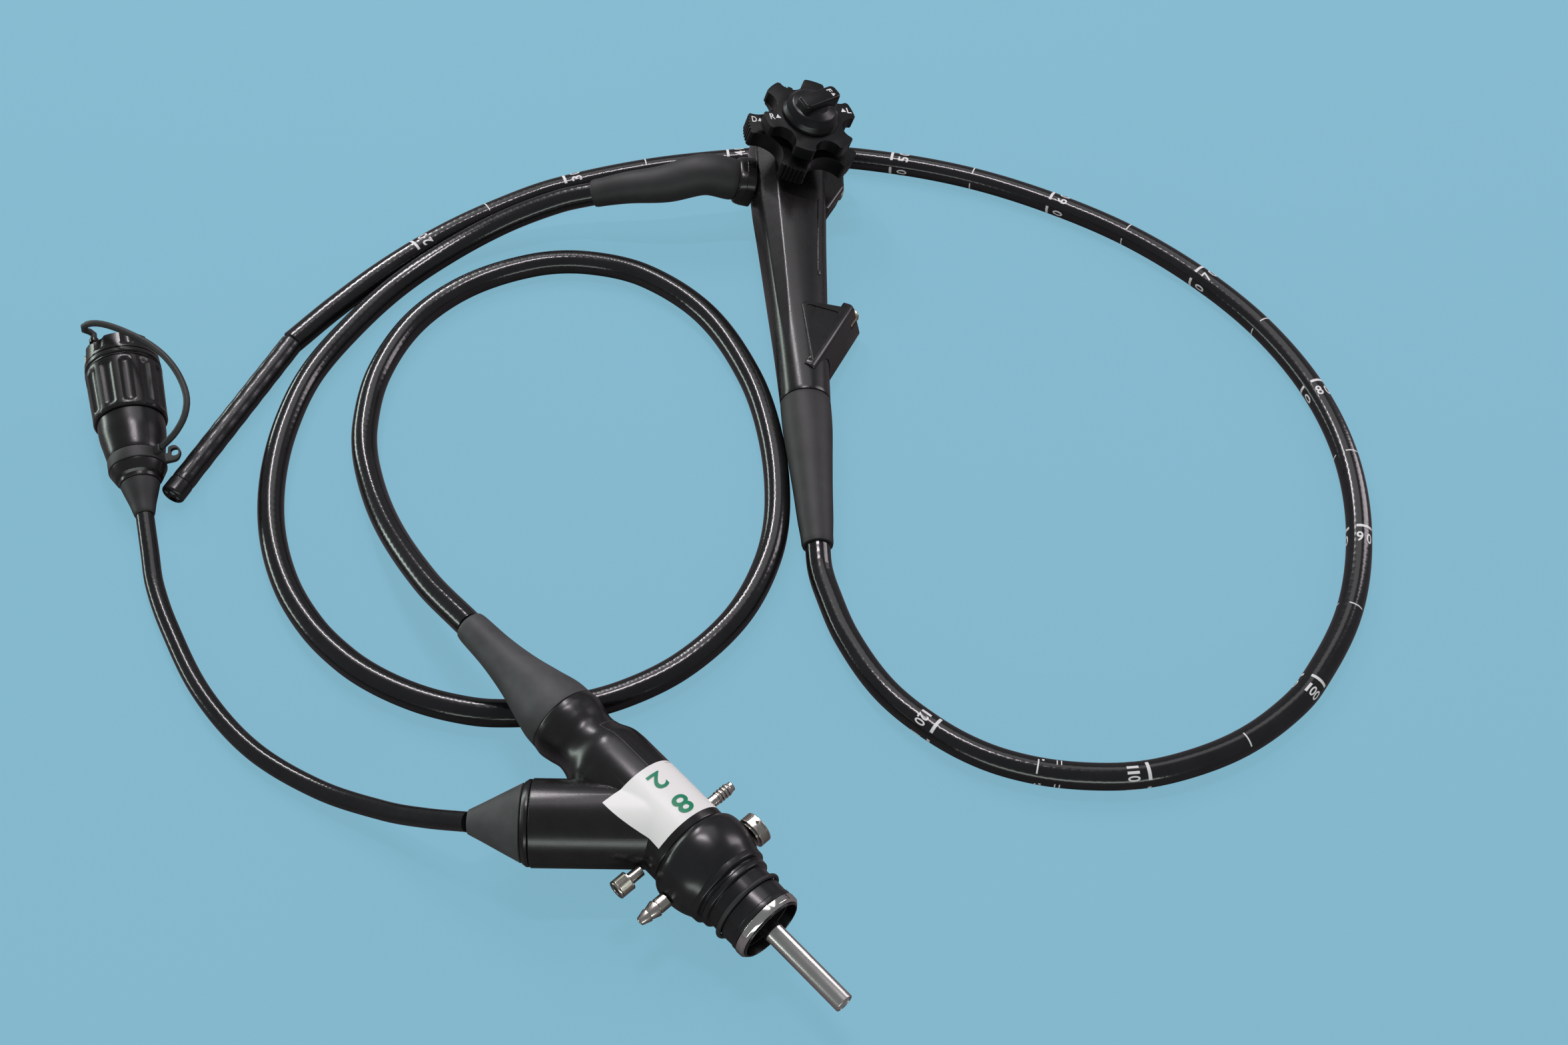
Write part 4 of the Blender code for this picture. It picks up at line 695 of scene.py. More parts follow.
def cord_exit():
    """The collar and the curved boot where the universal cord leaves the head."""
    rings = []
    for x, half, roundness in ((21.9, 12.4, 3.0), (22.1, 12.7, 3.0), (23.0, 12.8, 3.0), (27.0, 12.75, 2.9),
                               (27.2, 12.6, 2.9), (27.4, 12.75, 2.9), (29.5, 12.65, 2.7), (30.8, 12.4, 2.6),
                               (31.5, 12.0, 2.5), (31.9, 11.6, 2.4), (32.0, 11.3, 2.4)):
        unit = [superellipse(i, 96, roundness) for i in range(96)]
        rings.append([Vector((-x, -15.2 + half * u, 1.3 + 0.94 * half * w)) for u, w in unit])
    piece("cord_collar_shell", lofted_mesh(rings), "satin_black", CONTROL, stands_for=("cord_collar",))

    start = world(CONTROL, -32.15, -15.2, 1.3)
    heading = -(CONTROL.to_3x3() @ Vector((1, 0, 0)))
    path = smooth_path([start, start + heading * 18 * MM] + scaled([(69.0, 220.2, 32.5), (47.0, 219.6, 30.0),
                                                                    (27.0, 219.6, 25.5)]), 1.6 * MM)
    stations = [(0.0, 11.4), (0.008, 11.75), (0.06, 12.0), (0.35, 11.4), (0.7, 9.4), (0.93, 8.1),
                (0.995, 7.9), (1.0, 7.6)]
    radii = [value_at(stations, i / (len(path) - 1)) * MM for i in range(len(path))]
    piece("cord_boot_skin", sweep_mesh(path, radii, 64), "boot_rubber", stands_for=("cord_boot",))


def grip_boot():
    stations = [(0.0, 13.0), (0.006, 13.35), (0.02, 13.45), (0.20, 13.1), (0.42, 11.6), (0.63, 10.2),
                (0.83, 9.1), (0.93, 8.3), (0.995, 8.0), (1.0, 7.7)]
    rings = []
    for i in range(61):
        share = (i / 60) if i > 1 else i * 0.006
        radius = value_at(stations, share)
        y = GRIP_SEAM - 0.15 - share * (GRIP_SEAM - BOOT_END)
        rings.append(body_ring(y, radius, radius, 2.0, False, 96))
    piece("grip_boot_skin", lofted_mesh(rings), "boot_rubber", CONTROL, stands_for=("grip_boot",))


def lobed_outline(radius, lobes, notch_radius, notch_centre, ridges, ridge_depth, phase, shoulder=1.2):
    """A knob's outline: lobes with ribbed ends and round shoulders, parted by round finger notches."""
    half_pitch = math.pi / lobes
    reach = (radius**2 + notch_centre**2 - notch_radius**2) / (2 * radius * notch_centre)
    notch_half = math.acos(reach)
    tip_half = half_pitch - notch_half
    points = []
    for lobe in range(lobes):
        middle = phase + 2 * math.pi * lobe / lobes
        count = 24 * max(ridges, 1)
        for k in range(count + 1):
            share = 2 * k / count - 1
            angle = middle + tip_half * share
            round_off = shoulder * max(0.0, (abs(share) - 0.72) / 0.28) ** 2
            wave = 0.0
            if ridges and abs(share) < 0.72:
                wave = ridge_depth * (0.5 + 0.5 * math.cos(2 * math.pi * ridges * share / 1.44)) ** 3
            reach_here = radius - round_off - wave
            points.append((reach_here * math.cos(angle), reach_here * math.sin(angle)))
        centre_angle = middle + half_pitch
        centre = Vector((math.cos(centre_angle), math.sin(centre_angle))) * notch_centre
        edge = Vector((math.cos(centre_angle - notch_half), math.sin(centre_angle - notch_half))) * radius
        start = edge - centre
        opening = 2 * math.pi - 2 * start.angle(centre)
        for k in range(1, 28):
            turn = -opening * k / 28
            c, s = math.cos(turn), math.sin(turn)
            x, y = start.x * c - start.y * s, start.x * s + start.y * c
            if 1 < k < 27:
                points.append((centre.x + x, centre.y + y))
    return points


def knob(name, outline, low, high, body, node, bevel=1.6):
    mesh = prism_mesh(outline, low, high)
    thing = piece(name, mesh, "knob_black", CONTROL, body, (node,))
    bevelled(thing, bevel, 5, 55.0)
    return drill(thing, (low - 5, high + 5, 0.0, 6.0), 64, CONTROL, "Z")


def knobs():
    shaft = rounded([(6.0, 0, 0), (6.0, 4.0, 0), (45.9, 4.0, 0.3), (45.9, 0, 0)])
    spun("shaft_bright", "knob_shaft", shaft, 48, "steel", CONTROL, axis="Z")
    lever = spun("brake_lever", "ud_brake_lever", tube_outline(18.6, 23.2, 6.0, 15.0, 0.8), 96, "knob_black",
                 CONTROL, "up_down_brake", "Z")
    arm = rounded([(-4, 12, 0), (4, 12, 0), (3, 25.5, 2.4), (-3, 25.5, 2.4)], 8)
    join(lever, prism_mesh(arm, 19.0, 22.8), CONTROL, 0.7, 4)

    ud_outline = lobed_outline(33.2, 5, 13.0, 34.5, 5, 1.0, math.radians(184.5))
    knob("up_down_wheel", ud_outline, 24.7, 35.1, "up_down_knob", "ud_knob", 1.5)
    spun("up_down_boss", "ud_hub", tube_outline(35.4, 39.0, 4.3, 15.5, 0.6), 96, "knob_black", CONTROL,
         "up_down_knob", "Z")
    rl_outline = lobed_outline(28.0, 6, 7.9, 27.4, 0, 0.0, math.radians(21.3), 1.6)
    knob("right_left_wheel", rl_outline, 39.3, 46.9, "right_left_knob", "rl_knob", 1.4)

    drum = rounded([
        (47.2, 0, 0), (47.2, 16.6, 0.3), (48.9, 16.4, 0.7), (51.4, 15.2, 2.0), (54.6, 12.6, 3.0),
        (56.4, 8.0, 3.0), (56.8, 0, 0)], 8)
    lock = spun("brake_dial", "rl_brake_knob", drum, 128, "knob_black", CONTROL, "right_left_brake", "Z")
    turn = Matrix.Rotation(math.radians(35.0), 4, "Z")
    bar = rounded([(-11.2, -5.2, 2.2), (15.2, -4.8, 2.8), (15.2, 4.8, 2.8), (-11.2, 5.2, 2.2)], 8)
    rings = []
    for level, inset in ((50.9, 0.0), (59.8, 0.15), (60.8, 0.4), (61.25, 0.8), (61.4, 1.2)):
        share = Vector(((26.4 - 2 * inset) / 26.4, (10.0 - 2 * inset) / 10.0))
        rings.append([(2.0 + (u - 2.0) * share.x, v * share.y, level) for u, v in bar])
    join(lock, lofted_mesh(rings), CONTROL @ turn)


def switches():
    outline = rounded([(-0.6, 0, 0), (-0.6, 2.9, 0), (3.2, 2.7, 0.9), (2.9, 1.0, 0), (2.9, 0, 0)], 6)
    for number, (x, z) in enumerate(SWITCHES, 1):
        spun("switch_%d_cap" % number, "switch_%d" % number, outline, 48, "switch_rubber", CONTROL,
             "switch_%d_key" % number, "Y", switch_place(x, z))


PORT = CONTROL @ moved(2.5, -155.4, 9.0) @ turned(61.0, "Z") @ turned(4.0, "Y")
PORT_SECTION = ((5.5, 13.6), (2.0, 14.7), (0.4, 14.7), (-1.4, 13.4), (-10.6, 0.0), (-9.6, -5.0), (-5.0, -7.4),
                (5.5, -7.4))
PORT_WEB = ((-4.5, 1, 0), (44.6, 1, 0), (44.6, 3.0, 1.0), (33.2, 23.2, 2.6), (29.4, 24.4, 2.6),
            (-4.5, 2.6, 0))
PORT_TOP = 14.7
PORT_PLATE = ((2.6, 3.9, 1.2), (38.4, 3.9, 1.6), (31.2, 22.0, 1.8))


def instrument_port():
    housing = piece("port_shell", prism_mesh(PORT_SECTION, -8.0, 48.5, "X"), "satin_black", PORT,
                    stands_for=("port_housing",))
    bevelled(housing, 1.3, 5, 15.0)
    join(housing, prism_mesh(rounded(list(PORT_WEB), 6), -7.0, PORT_TOP), PORT, 0.9, 4)
    cut(housing, prism_mesh(rounded(list(PORT_PLATE), 6), PORT_TOP - 0.45, 18.0), PORT)
    clearance = lofted_mesh(body_rings([(-60.0, 19.3, 16.5, 2.8), (-105.0, 16.75, 15.05, 2.6),
                                        (-140.0, 14.95, 14.25, 2.3), (-200.0, 13.0, 13.3, 2.0)], 24, False))
    cut(housing, clearance, CONTROL)
    at = (0, -1.0, 5.0)
    drill(housing, (39.5, 53.5, 0.0, 5.2), 64, PORT, at=at)
    mouth = rounded([
        (40.5, 2.2, 0), (40.5, 4.9, 0), (48.9, 4.9, 0), (49.1, 4.3, 0.1), (50.3, 4.3, 0.1), (50.5, 4.9, 0.2),
        (51.9, 4.9, 0.4), (51.9, 2.5, 0.4), (50.9, 2.2, 0)], 4)
    ring = spun("port_mouth_ring", "port_mouth", mouth, 72, "brass", PORT, at=at)
    for k in range(4):
        notch = prism_mesh([(-0.6, 4.0), (0.6, 4.0), (0.6, 6.0), (-0.6, 6.0)], 50.4, 53.0, "X")
        cut(ring, notch, PORT @ moved(*at) @ turned(45 + 90 * k, "X"))


# Light guide connector
ARM_RADIUS, ARM_LENGTH = 19.3, 58.5
BARREL_WAIST = ((69.7, 17.55), (73, 17.9), (78, 17.0), (84, 15.7), (90, 16.6), (97, 19.4), (103, 20.1))


def round_connector(along, radius, angle):
    """A place round the connector's axis, the angle from its top."""
    return world(CONNECTOR, along, radius * math.sin(angle), radius * math.cos(angle))


def connector_body():
    flare = swell([(0.6, 7.6), (3.0, 8.0), (20, 9.0), (36, 11.2), (50, 14.3), (61, 16.9), (68.4, 17.4)], 44)
    outline = [(0.0, 0.0), (0.0, 6.9), (0.2, 7.3)] + flare + [(68.8, 17.3), (69.0, 17.0), (69.0, 0.0)]
    spun("connector_boot_skin", "connector_boot", outline, 120, "cone_rubber", CONNECTOR)
    barrel = swell(BARREL_WAIST, 56)
    outline = ([(69.3, 0.0), (69.3, 17.1), (69.45, 17.4)] + barrel
               + [(128.0, 20.1), (153.9, 20.1), (154.35, 19.9), (154.5, 19.5), (154.5, 0.0)])
    housing = spun("connector_shell", "connector_housing", outline, 160, "satin_black", CONNECTOR)
    arm = rounded([(4.0, 0, 0), (4.0, ARM_RADIUS, 0), (ARM_LENGTH, ARM_RADIUS, 0.5), (ARM_LENGTH, 0, 0)], 5)
    join(housing, turned_mesh(arm, "X", 160), ARM)
    collar = rounded([(58.8, 0, 0), (58.8, 18.9, 0.5), (60.2, 18.9, 0.5), (62.1, 17.6, 0.6), (62.2, 0, 0)], 5)
    spun("arm_collar_ring", "arm_collar", collar, 128, "satin_black", ARM)
    cone = swell([(62.9, 17.25), (70, 13.6), (80, 8.4), (86.0, 5.4)], 24)
    outline = [(62.5, 0), (62.5, 16.7)] + cone + [(86.4, 4.9), (86.4, 0)]
    spun("cable_cone_skin", "cable_cone", outline, 120, "cone_rubber", ARM)


def connector_nose():
    bell = swell([(155.2, 20.7), (157.5, 22.3), (161, 23.0), (167, 22.7), (172, 21.6), (176.5, 19.7)], 40)
    steps = rounded([
        (176.7, 19.9, 0.1), (179.5, 19.7, 0.7), (179.8, 17.3, 0.3), (181.2, 17.3, 0.3), (181.5, 18.1, 0.5),
        (183.8, 18.0, 0.5), (184.2, 16.1, 0.2), (189.4, 16.1, 0.1), (189.4, 15.5, 0), (191.8, 15.5, 0),
        (191.8, 16.1, 0.1), (198.0, 15.9, 0.1), (198.4, 16.3, 0.2), (200.5, 16.3, 0.2), (200.5, 14.2, 0),
        (186.0, 14.2, 0.5), (186.0, 0, 0), (154.8, 0, 0), (154.8, 20.2, 0.2)], 5)
    spun("nose_shell", "connector_nose", bell + steps, 160, "gloss_black", CONNECTOR)
    seal = [(190.6 + 1.05 * math.cos(math.pi * 2 * k / 20), 16.85 + 1.05 * math.sin(math.pi * 2 * k / 20))
            for k in range(20)]
    spun("seal_skin", "seal_ring", seal, 128, "boot_rubber", CONNECTOR)
    ring = rounded([(200.8, 15.2, 0), (200.8, 16.6, 0.3), (203.6, 16.5, 0.5), (204.7, 15.6, 0.4),
                    (204.7, 15.2, 0)], 5)
    spun("rim_band", "rim_ring", ring, 128, "polished_steel", CONNECTOR)
    lip = rounded([(200.8, 14.2, 0), (200.8, 15.0, 0), (205.0, 15.0, 0.2), (205.5, 14.8, 0.3),
                   (205.5, 14.2, 0.3)], 4)
    spun("mouth_lip", "rim_ring", lip, 128, "gloss_black", CONNECTOR)
    rod = rounded([(186.3, 0, 0), (186.3, 4.4, 0), (206.0, 4.4, 0), (206.3, 4.55, 0), (207.2, 4.55, 0),
                   (207.5, 4.4, 0), (248.8, 4.4, 0.5), (248.8, 3.7, 0.1), (245.5, 3.7, 0), (245.5, 0, 0)], 5)
    spun("light_guide_sleeve", "light_guide_rod", rod, 96, "rod_steel", CONNECTOR)
    face = rounded([(245.8, 0, 0), (245.8, 3.4, 0), (248.6, 3.4, 0.3), (248.65, 0, 0)], 5)
    spun("light_guide_window", "light_guide_glass", face, 64, "glass", CONNECTOR)


def fitting(name, node, outline, station, side, steps=72):
    """A metal fitting that stands out to one side, from (reach, radius) points."""
    points = [(reach * side, radius) for reach, radius in outline]
    return spun(name, node, points, steps, "steel", CONNECTOR, axis="Y", at=(station, 0, 0))


def fittings():
    pipe = [(20.5, 0), (20.5, 2.6), (24.4, 2.6), (24.5, 2.2)]
    for start in (24.6, 26.4, 28.2, 30.0):
        pipe += [(start, 2.9), (start + 0.3, 2.95), (start + 1.6, 2.45), (start + 1.7, 2.2)]
    pipe += [(32.0, 2.3), (33.3, 2.2), (33.5, 2.0), (33.5, 1.4), (33.3, 1.3), (29.0, 1.3), (29.0, 0)]
    fitting("water_inlet", "water_pipe", pipe, 144.5, 1)
    drum = rounded([(23.1, 0, 0), (23.1, 5.4, 0.2), (23.8, 5.4, 0), (23.8, 7.3, 0.2), (24.6, 7.3, 0.1),
                    (24.7, 7.0, 0), (28.1, 7.0, 0), (28.2, 7.3, 0.1), (29.0, 7.3, 0.3), (29.0, 5.6, 0.3),
                    (25.4, 5.6, 0.2), (25.4, 0, 0)], 4)
    holder = fitting("suction_holder", "suction_drum", drum, 167.0, 1, steps=96)
    for side in (-1, 1):
        join(holder, turned_mesh(tube_outline(side * 6.5, side * 8.7, 0.0, 0.75), "Z", 24,
                                            (167.0, 27.5, 0)), CONNECTOR)
    for k in range(40):
        turn = math.radians(9.0 * k)
        if abs(math.sin(turn)) > 0.97:
            continue
        place = (CONNECTOR @ Matrix.Translation(Vector((167.0, 0, 0)) * MM) @ Matrix.Rotation(turn, 4, "Y"))
        rib = prism_mesh([(6.9, -0.16), (7.28, -0.16), (7.28, 0.16), (6.9, 0.16)], 24.8, 28.0, "Y")
        piece("drum_rib_%02d" % k, rib, "steel", place)
    vent = [(22.4, 0), (22.4, 2.6), (29.0, 2.6), (29.0, 4.2), (29.2, 4.4)]
    for k in range(9):
        vent += [(29.8 + 0.62 * k, 4.4), (30.1 + 0.62 * k, 4.12)]
    vent += [(35.6, 4.4), (36.0, 4.3), (36.2, 4.1), (36.2, 2.2), (36.0, 2.0), (31.0, 2.0), (31.0, 0)]
    fitting("vent_socket", "vent_connector", vent, 147.6, -1)
    nozzle = [(23.3, 0), (23.3, 3.3), (23.5, 3.5), (28.0, 3.5), (28.2, 3.3), (28.2, 3.0), (28.9, 3.0),
              (29.0, 3.85), (29.2, 3.9), (33.3, 2.7), (33.4, 2.5), (33.5, 3.05), (33.7, 3.1), (37.6, 2.0),
              (37.9, 1.9), (38.0, 1.7), (38.0, 1.3), (37.8, 1.2), (32.0, 1.2), (32.0, 0)]
    fitting("drain_spout", "drain_nozzle", nozzle, 165.0, -1)


# Video plug
def fluted_mesh(start, end, radii, depth, share, from_at, to_at, flutes=12, columns_each=12, rows=28):
    """A tapered barrel whose skin is fluted between two stations."""
    columns = flutes * columns_each
    blend = 2.6
    rings = []
    for row in range(rows + 1):
        at = start + (end - start) * row / rows
        rise = min(max((at - from_at) / blend, 0.0), max((to_at - at) / blend, 0.0), 1.0)
        rise = rise * rise * (3 - 2 * rise)
        edge = min(at - start, end - at)
        trim = 0.7 * (1 - min(edge / 0.9, 1.0)) ** 2
        outer = radii[0] + (radii[1] - radii[0]) * (at - start) / (end - start)
        ring = []
        for i in range(columns):
            angle = 2 * math.pi * i / columns
            wave = max(0.0, -math.cos(2 * math.pi * i / columns_each) - share) / (1 - share)
            radius = outer - trim - depth * rise * math.sqrt(wave)
            ring.append(Vector((at, radius * math.cos(angle), radius * math.sin(angle))))
        rings.append(ring)
    return lofted_mesh(rings)


EYELET = ((28.6, -13.6, 0), (28.6, -20.5, 3.5), (34.0, -23.0, 4.5), (38.4, -20.0, 2.6), (37.6, -16.6, 0.8),
          (33.9, -15.9, 0.3), (33.9, -13.6, 0))


def video_plug():
    flare = swell([(0.5, 5.0), (2.0, 5.4), (7, 6.5), (13, 8.2), (18.3, 9.65)], 20)
    spun("plug_boot_skin", "plug_boot", [(0, 0), (0, 4.6)] + flare + [(18.7, 9.4), (18.7, 0)], 96,
         "boot_rubber", PLUG)
    shoulder = swell([(34.6, 13.9), (36.0, 14.35), (42, 15.4), (49, 16.5), (56.6, 16.8)], 28)
    outline = (rounded([(19.0, 0, 0), (19.0, 9.9, 0.4), (21.0, 10.2, 0.3), (22.0, 11.6, 0.5),
                        (27.1, 14.1, 0.3), (27.1, 12.9, 0), (34.2, 12.9, 0)], 5)[1:]
               + shoulder + [(57.0, 16.5), (57.0, 14.0), (96.0, 14.0), (96.0, 0), (19.0, 0)])
    spun("plug_shell", "plug_body", outline, 128, "satin_black", PLUG)
    band = spun("retainer_band", "retainer_ring", tube_outline(27.4, 34.2, 13.2, 14.4, 0.5), 128,
                "boot_rubber", PLUG)
    join(band, prism_mesh(rounded(list(EYELET), 8), -1.2, 1.2), PLUG, 0.5, 4)
    hole = rounded([(31.4, -17.4, 1.6), (31.4, -21.2, 1.6), (36.2, -21.2, 1.6), (36.2, -17.4, 1.6)], 8)
    cut(band, prism_mesh(hole, -4.0, 4.0), PLUG)
    tab = [(29.0, -18.4), (33.6, -18.4), (33.6, -13.4), (29.0, -13.4)]
    join(band, prism_mesh(tab, -1.7, 1.7), TETHER_ROOT, 1.0, 4)

    coupling = piece("coupling_barrel", fluted_mesh(57.3, 91.0, (18.4, 19.4), 1.4, -0.3, 59.3, 88.0),
                     "satin_black", PLUG, "coupling", ("coupling_ring",))
    drill(coupling, (55.3, 93.0, 0.0, 14.3), 96, PLUG)
    drill(coupling, (88.9, 88.9 + 0.7, 18.9, 22.0), 144, PLUG)
    cap = piece("cap_shell", fluted_mesh(91.3, 104.8, (19.3, 18.1), 1.5, 0.35, 95.8, 110.8, 8, 18, 20),
                "satin_black", PLUG, "cap", ("plug_cap",))
    drill(cap, (89.3, 102.3, 0.0, 14.3), 96, PLUG)
    drill(cap, (94.0, 94.7, 18.4, 22.0), 144, PLUG)
    drill(cap, (104.3, 106.0, 0.0, 13.2, 0.2), 96, PLUG)
    lug = rounded([(103.8, 0, 0), (103.8, 2.4, 0), (106.4, 2.4, 0.7), (106.4, 0, 0)], 6)
    join(cap, turned_mesh(lug, "X", 48, (0, 9.8, 13.6)), PLUG)


# Bending section
LINK_PITCH, FIRST_HINGE, LINKS = 11.5, 9.5, 8
COVER_END, COVER_RADIUS = 106.6, 6.02
TIP_FACE = 115.9


def cover_radius(at):
    """The rubber cover's outer radius: bound and glued at both ends, with a faint swell at each hinge."""
    ends = min(at, COVER_END - at)
    binding = 0.10 * math.exp(-((ends - 3.2) / 1.6) ** 2)
    hinge = 0.06 * math.cos(2 * math.pi * (at - FIRST_HINGE) / LINK_PITCH)
    return COVER_RADIUS + binding + hinge


def bending_section():
    for k in range(LINKS + 1):
        hinge = FIRST_HINGE + k * LINK_PITCH
        start = 0.3 if k == 0 else hinge - LINK_PITCH / 2
        end = COVER_END if k == LINKS else hinge + LINK_PITCH / 2
        count = 24
        path = [BENDING @ (Vector((start + (end - start) * i / count, 0, 0)) * MM) for i in range(count + 1)]
        radii = [cover_radius(start + (end - start) * i / count) * MM for i in range(count + 1)]
        sleeve = piece("bending_sleeve_%d" % (k + 1), sweep_mesh(path, radii, 64), "cover_black", body=None,
                       stands_for=("bending_cover",), sharp=60.0)
        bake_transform(sleeve)
    tip = rounded([(106.9, 0, 0), (106.9, 6.0, 0.2), (107.4, 6.2, 0.3), (115.9, 6.2, 1.6), (115.9, 0, 0)], 8)
    head = spun("tip_shell", "distal_tip", tip, 96, "gloss_black", BENDING, "tip")
    for name, y, z, radius, depth in (
            ("objective_window", 0.0, 2.6, 1.6, 1.6), ("light_window_1", 3.3, 0.4, 1.2, 1.4),
            ("light_window_2", -3.3, 0.4, 1.2, 1.4), ("channel", 0.9, -2.8, 1.9, 6.0)):
        drill(head, (TIP_FACE - depth, TIP_FACE + 1, 0.0, radius), 48, BENDING, at=(0, y, z))
        if name != "channel":
            lens = rounded([(TIP_FACE - depth, 0, 0), (TIP_FACE - depth, radius - 0.1, 0),
                            (TIP_FACE - 0.2, radius - 0.1, 0.1), (TIP_FACE - 0.05, 0, 0)], 3)
            spun(name, name.replace("window", "lens"), lens, 40, "glass", BENDING, "tip", at=(0, y, z))

# Print and labels
GRADUATION_TOP = Vector((207.0, -129.4, 6.6)) * MM      # the 120 mark's place
GRADUATION_50 = Vector((202.4, 268.1, 6.6)) * MM
MARK_TURNS = {120: 6, 110: 13, 100: 23.5, 90: 16, 80: 18.5, 70: 13, 60: 9.7, 50: 7, 40: 12, 30: 7, 20: -4.5}
RECTANGLE = ((-0.5, -0.5), (0.5, -0.5), (0.5, 0.5), (-0.5, 0.5))
ARROW = ((-0.5, -0.4), (0.5, -0.4), (0.0, 0.5))
DICE = 0.6      # how wide a strip of print bends as one


def flat_text(text, width, height):
    """The faces of a text, centred and fitted to a width and height in millimetres."""
    curve = bpy.data.curves.new("text_shape", "FONT")
    curve.body = text
    curve.resolution_u = 4
    curve.offset = 0.016
    thing = linked("text_shape", curve)
    data = evaluated(thing)
    mesh = bmesh.new()
    mesh.from_mesh(data)
    bpy.data.objects.remove(thing, do_unlink=True)
    bpy.data.curves.remove(curve)
    bpy.data.meshes.remove(data)
    (left, right), (low, high) = (
        [pick(v.co[axis] for v in mesh.verts) for pick in (min, max)] for axis in (0, 1))
    for vert in mesh.verts:
        vert.co = Vector((((vert.co.x - left) / (right - left) - 0.5) * width,
                          ((vert.co.y - low) / (high - low) - 0.5) * height, 0.0))
    return mesh


def diced(mesh, step):
    """The mesh cut by a grid of lines along X, so that it can follow a round surface."""
    reach = max(abs(v.co.x) for v in mesh.verts)
    for k in range(-int(reach / step) - 1, int(reach / step) + 2):
        bmesh.ops.bisect_plane(mesh, geom=mesh.verts[:] + mesh.edges[:] + mesh.faces[:],
                               plane_co=(k * step, 0, 0), plane_no=(1, 0, 0))
    return mesh


def flat_shape(corners, width, height):
    mesh = bmesh.new()
    mesh.faces.new([mesh.verts.new((x * width, y * height, 0)) for x, y in corners])
    return mesh


class TubeSurface:
    """Places on a laid tube: metres along its path and degrees from its top to its right side."""

    def __init__(self, path, radius):
        self.path, self.radius = path, radius
        self.lengths = [0.0]
        for a, b in zip(path, path[1:]):
            self.lengths.append(self.lengths[-1] + (b - a).length)

    def nearest(self, point):
        index = min(range(len(self.path)), key=lambda i: (self.path[i] - point).length)
        return self.lengths[index]

    def point(self, along, degrees, rise=0.05 * MM):
        index = max(i for i in range(len(self.lengths) - 1) if self.lengths[i] <= along or i == 0)
        step = self.path[index + 1] - self.path[index]
        share = (along - self.lengths[index]) / step.length
        before = self.path[index] - self.path[max(index - 1, 0)] if index else step
        after = self.path[min(index + 2, len(self.path) - 1)] - self.path[index + 1]
        ahead = ((before.normalized() + step.normalized()) * (1 - share)
                 + (step.normalized() + (after if after.length else step).normalized()) * share).normalized()
        right = ahead.cross(Vector((0, 0, 1))).normalized()
        upward = right.cross(ahead)
        turn = math.radians(degrees)
        return (self.path[index] + step * share
                + (upward * math.cos(turn) + right * math.sin(turn)) * (self.radius + rise))


def wrapped(mesh, surface, along, degrees):
    """Flat print in millimetres laid on the tube: x runs round it, y runs along it."""
    round_mm = surface.radius / MM * math.pi / 180
    for vert in mesh.verts:
        vert.co = surface.point(along + vert.co.y * MM, degrees + vert.co.x / round_mm)
    return mesh


def merged(meshes):
    """One mesh from many."""
    whole = bmesh.new()
    for mesh in meshes:
        data = mesh_data("part_shape", mesh)
        whole.from_mesh(data)
        bpy.data.meshes.remove(data)
    return whole


def printed(name, mesh, look, body=ROOT):
    """Flat print, its faces turned outwards as they were laid."""
    data = mesh_data(name, mesh)
    data.materials.append(LOOKS[look])
    thing = linked(name, data)
    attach(thing, body)
    return thing


def wrapped_rectangle(width, height, surface, along, degrees):
    return wrapped(diced(flat_shape(RECTANGLE, width, height), DICE), surface, along, degrees)


def graduations(path):
    """The centimetre marks on the insertion tube, each printed three times round it."""
    surface = TubeSurface(path, TUBE_RADIUS * MM)
    top, fifty = surface.nearest(GRADUATION_TOP), surface.nearest(GRADUATION_50)
    per_centimetre = (fifty - top) / 70
    tube_round = TUBE_RADIUS * math.pi / 180
    for value in range(120, 15, -5):
        along = top + (120 - value) * per_centimetre
        tens = value % 10 == 0
        phase = (MARK_TURNS[value - value % 10] + MARK_TURNS[value + value % 10]) / 2
        arc, thick = (82, 1.6) if tens else (68, 0.7)
        digits = str(value) if tens else ""
        places, width, height = ((-26, 19), 3.3, 6.2) if len(digits) == 2 else ((-21, 4, 29), 2.6, 5.5)
        shapes = []
        for turn in (0, 120, 240):
            shapes.append(wrapped_rectangle(arc * tube_round, thick, surface, along, phase + turn))
            for digit, offset in zip(digits, places):
                wide = width * (0.5 if digit == "1" else 1.0)
                glyph = diced(flat_text(digit, wide, height), DICE)
                shapes.append(wrapped(glyph, surface, along - 7.1 * MM, phase + turn + offset))
        printed("graduation_%d" % value, merged(shapes), "print_white")
    guide = [wrapped_rectangle(width, height, surface, top + offset, turn)
             for offset, width, height in ((0.052, 1.1, 1.1), (0.0585, 3.4, 0.5), (0.0605, 3.4, 0.5))
             for turn in (-25, 95, 215)]
    printed("guide_marks", merged(guide), "print_white")


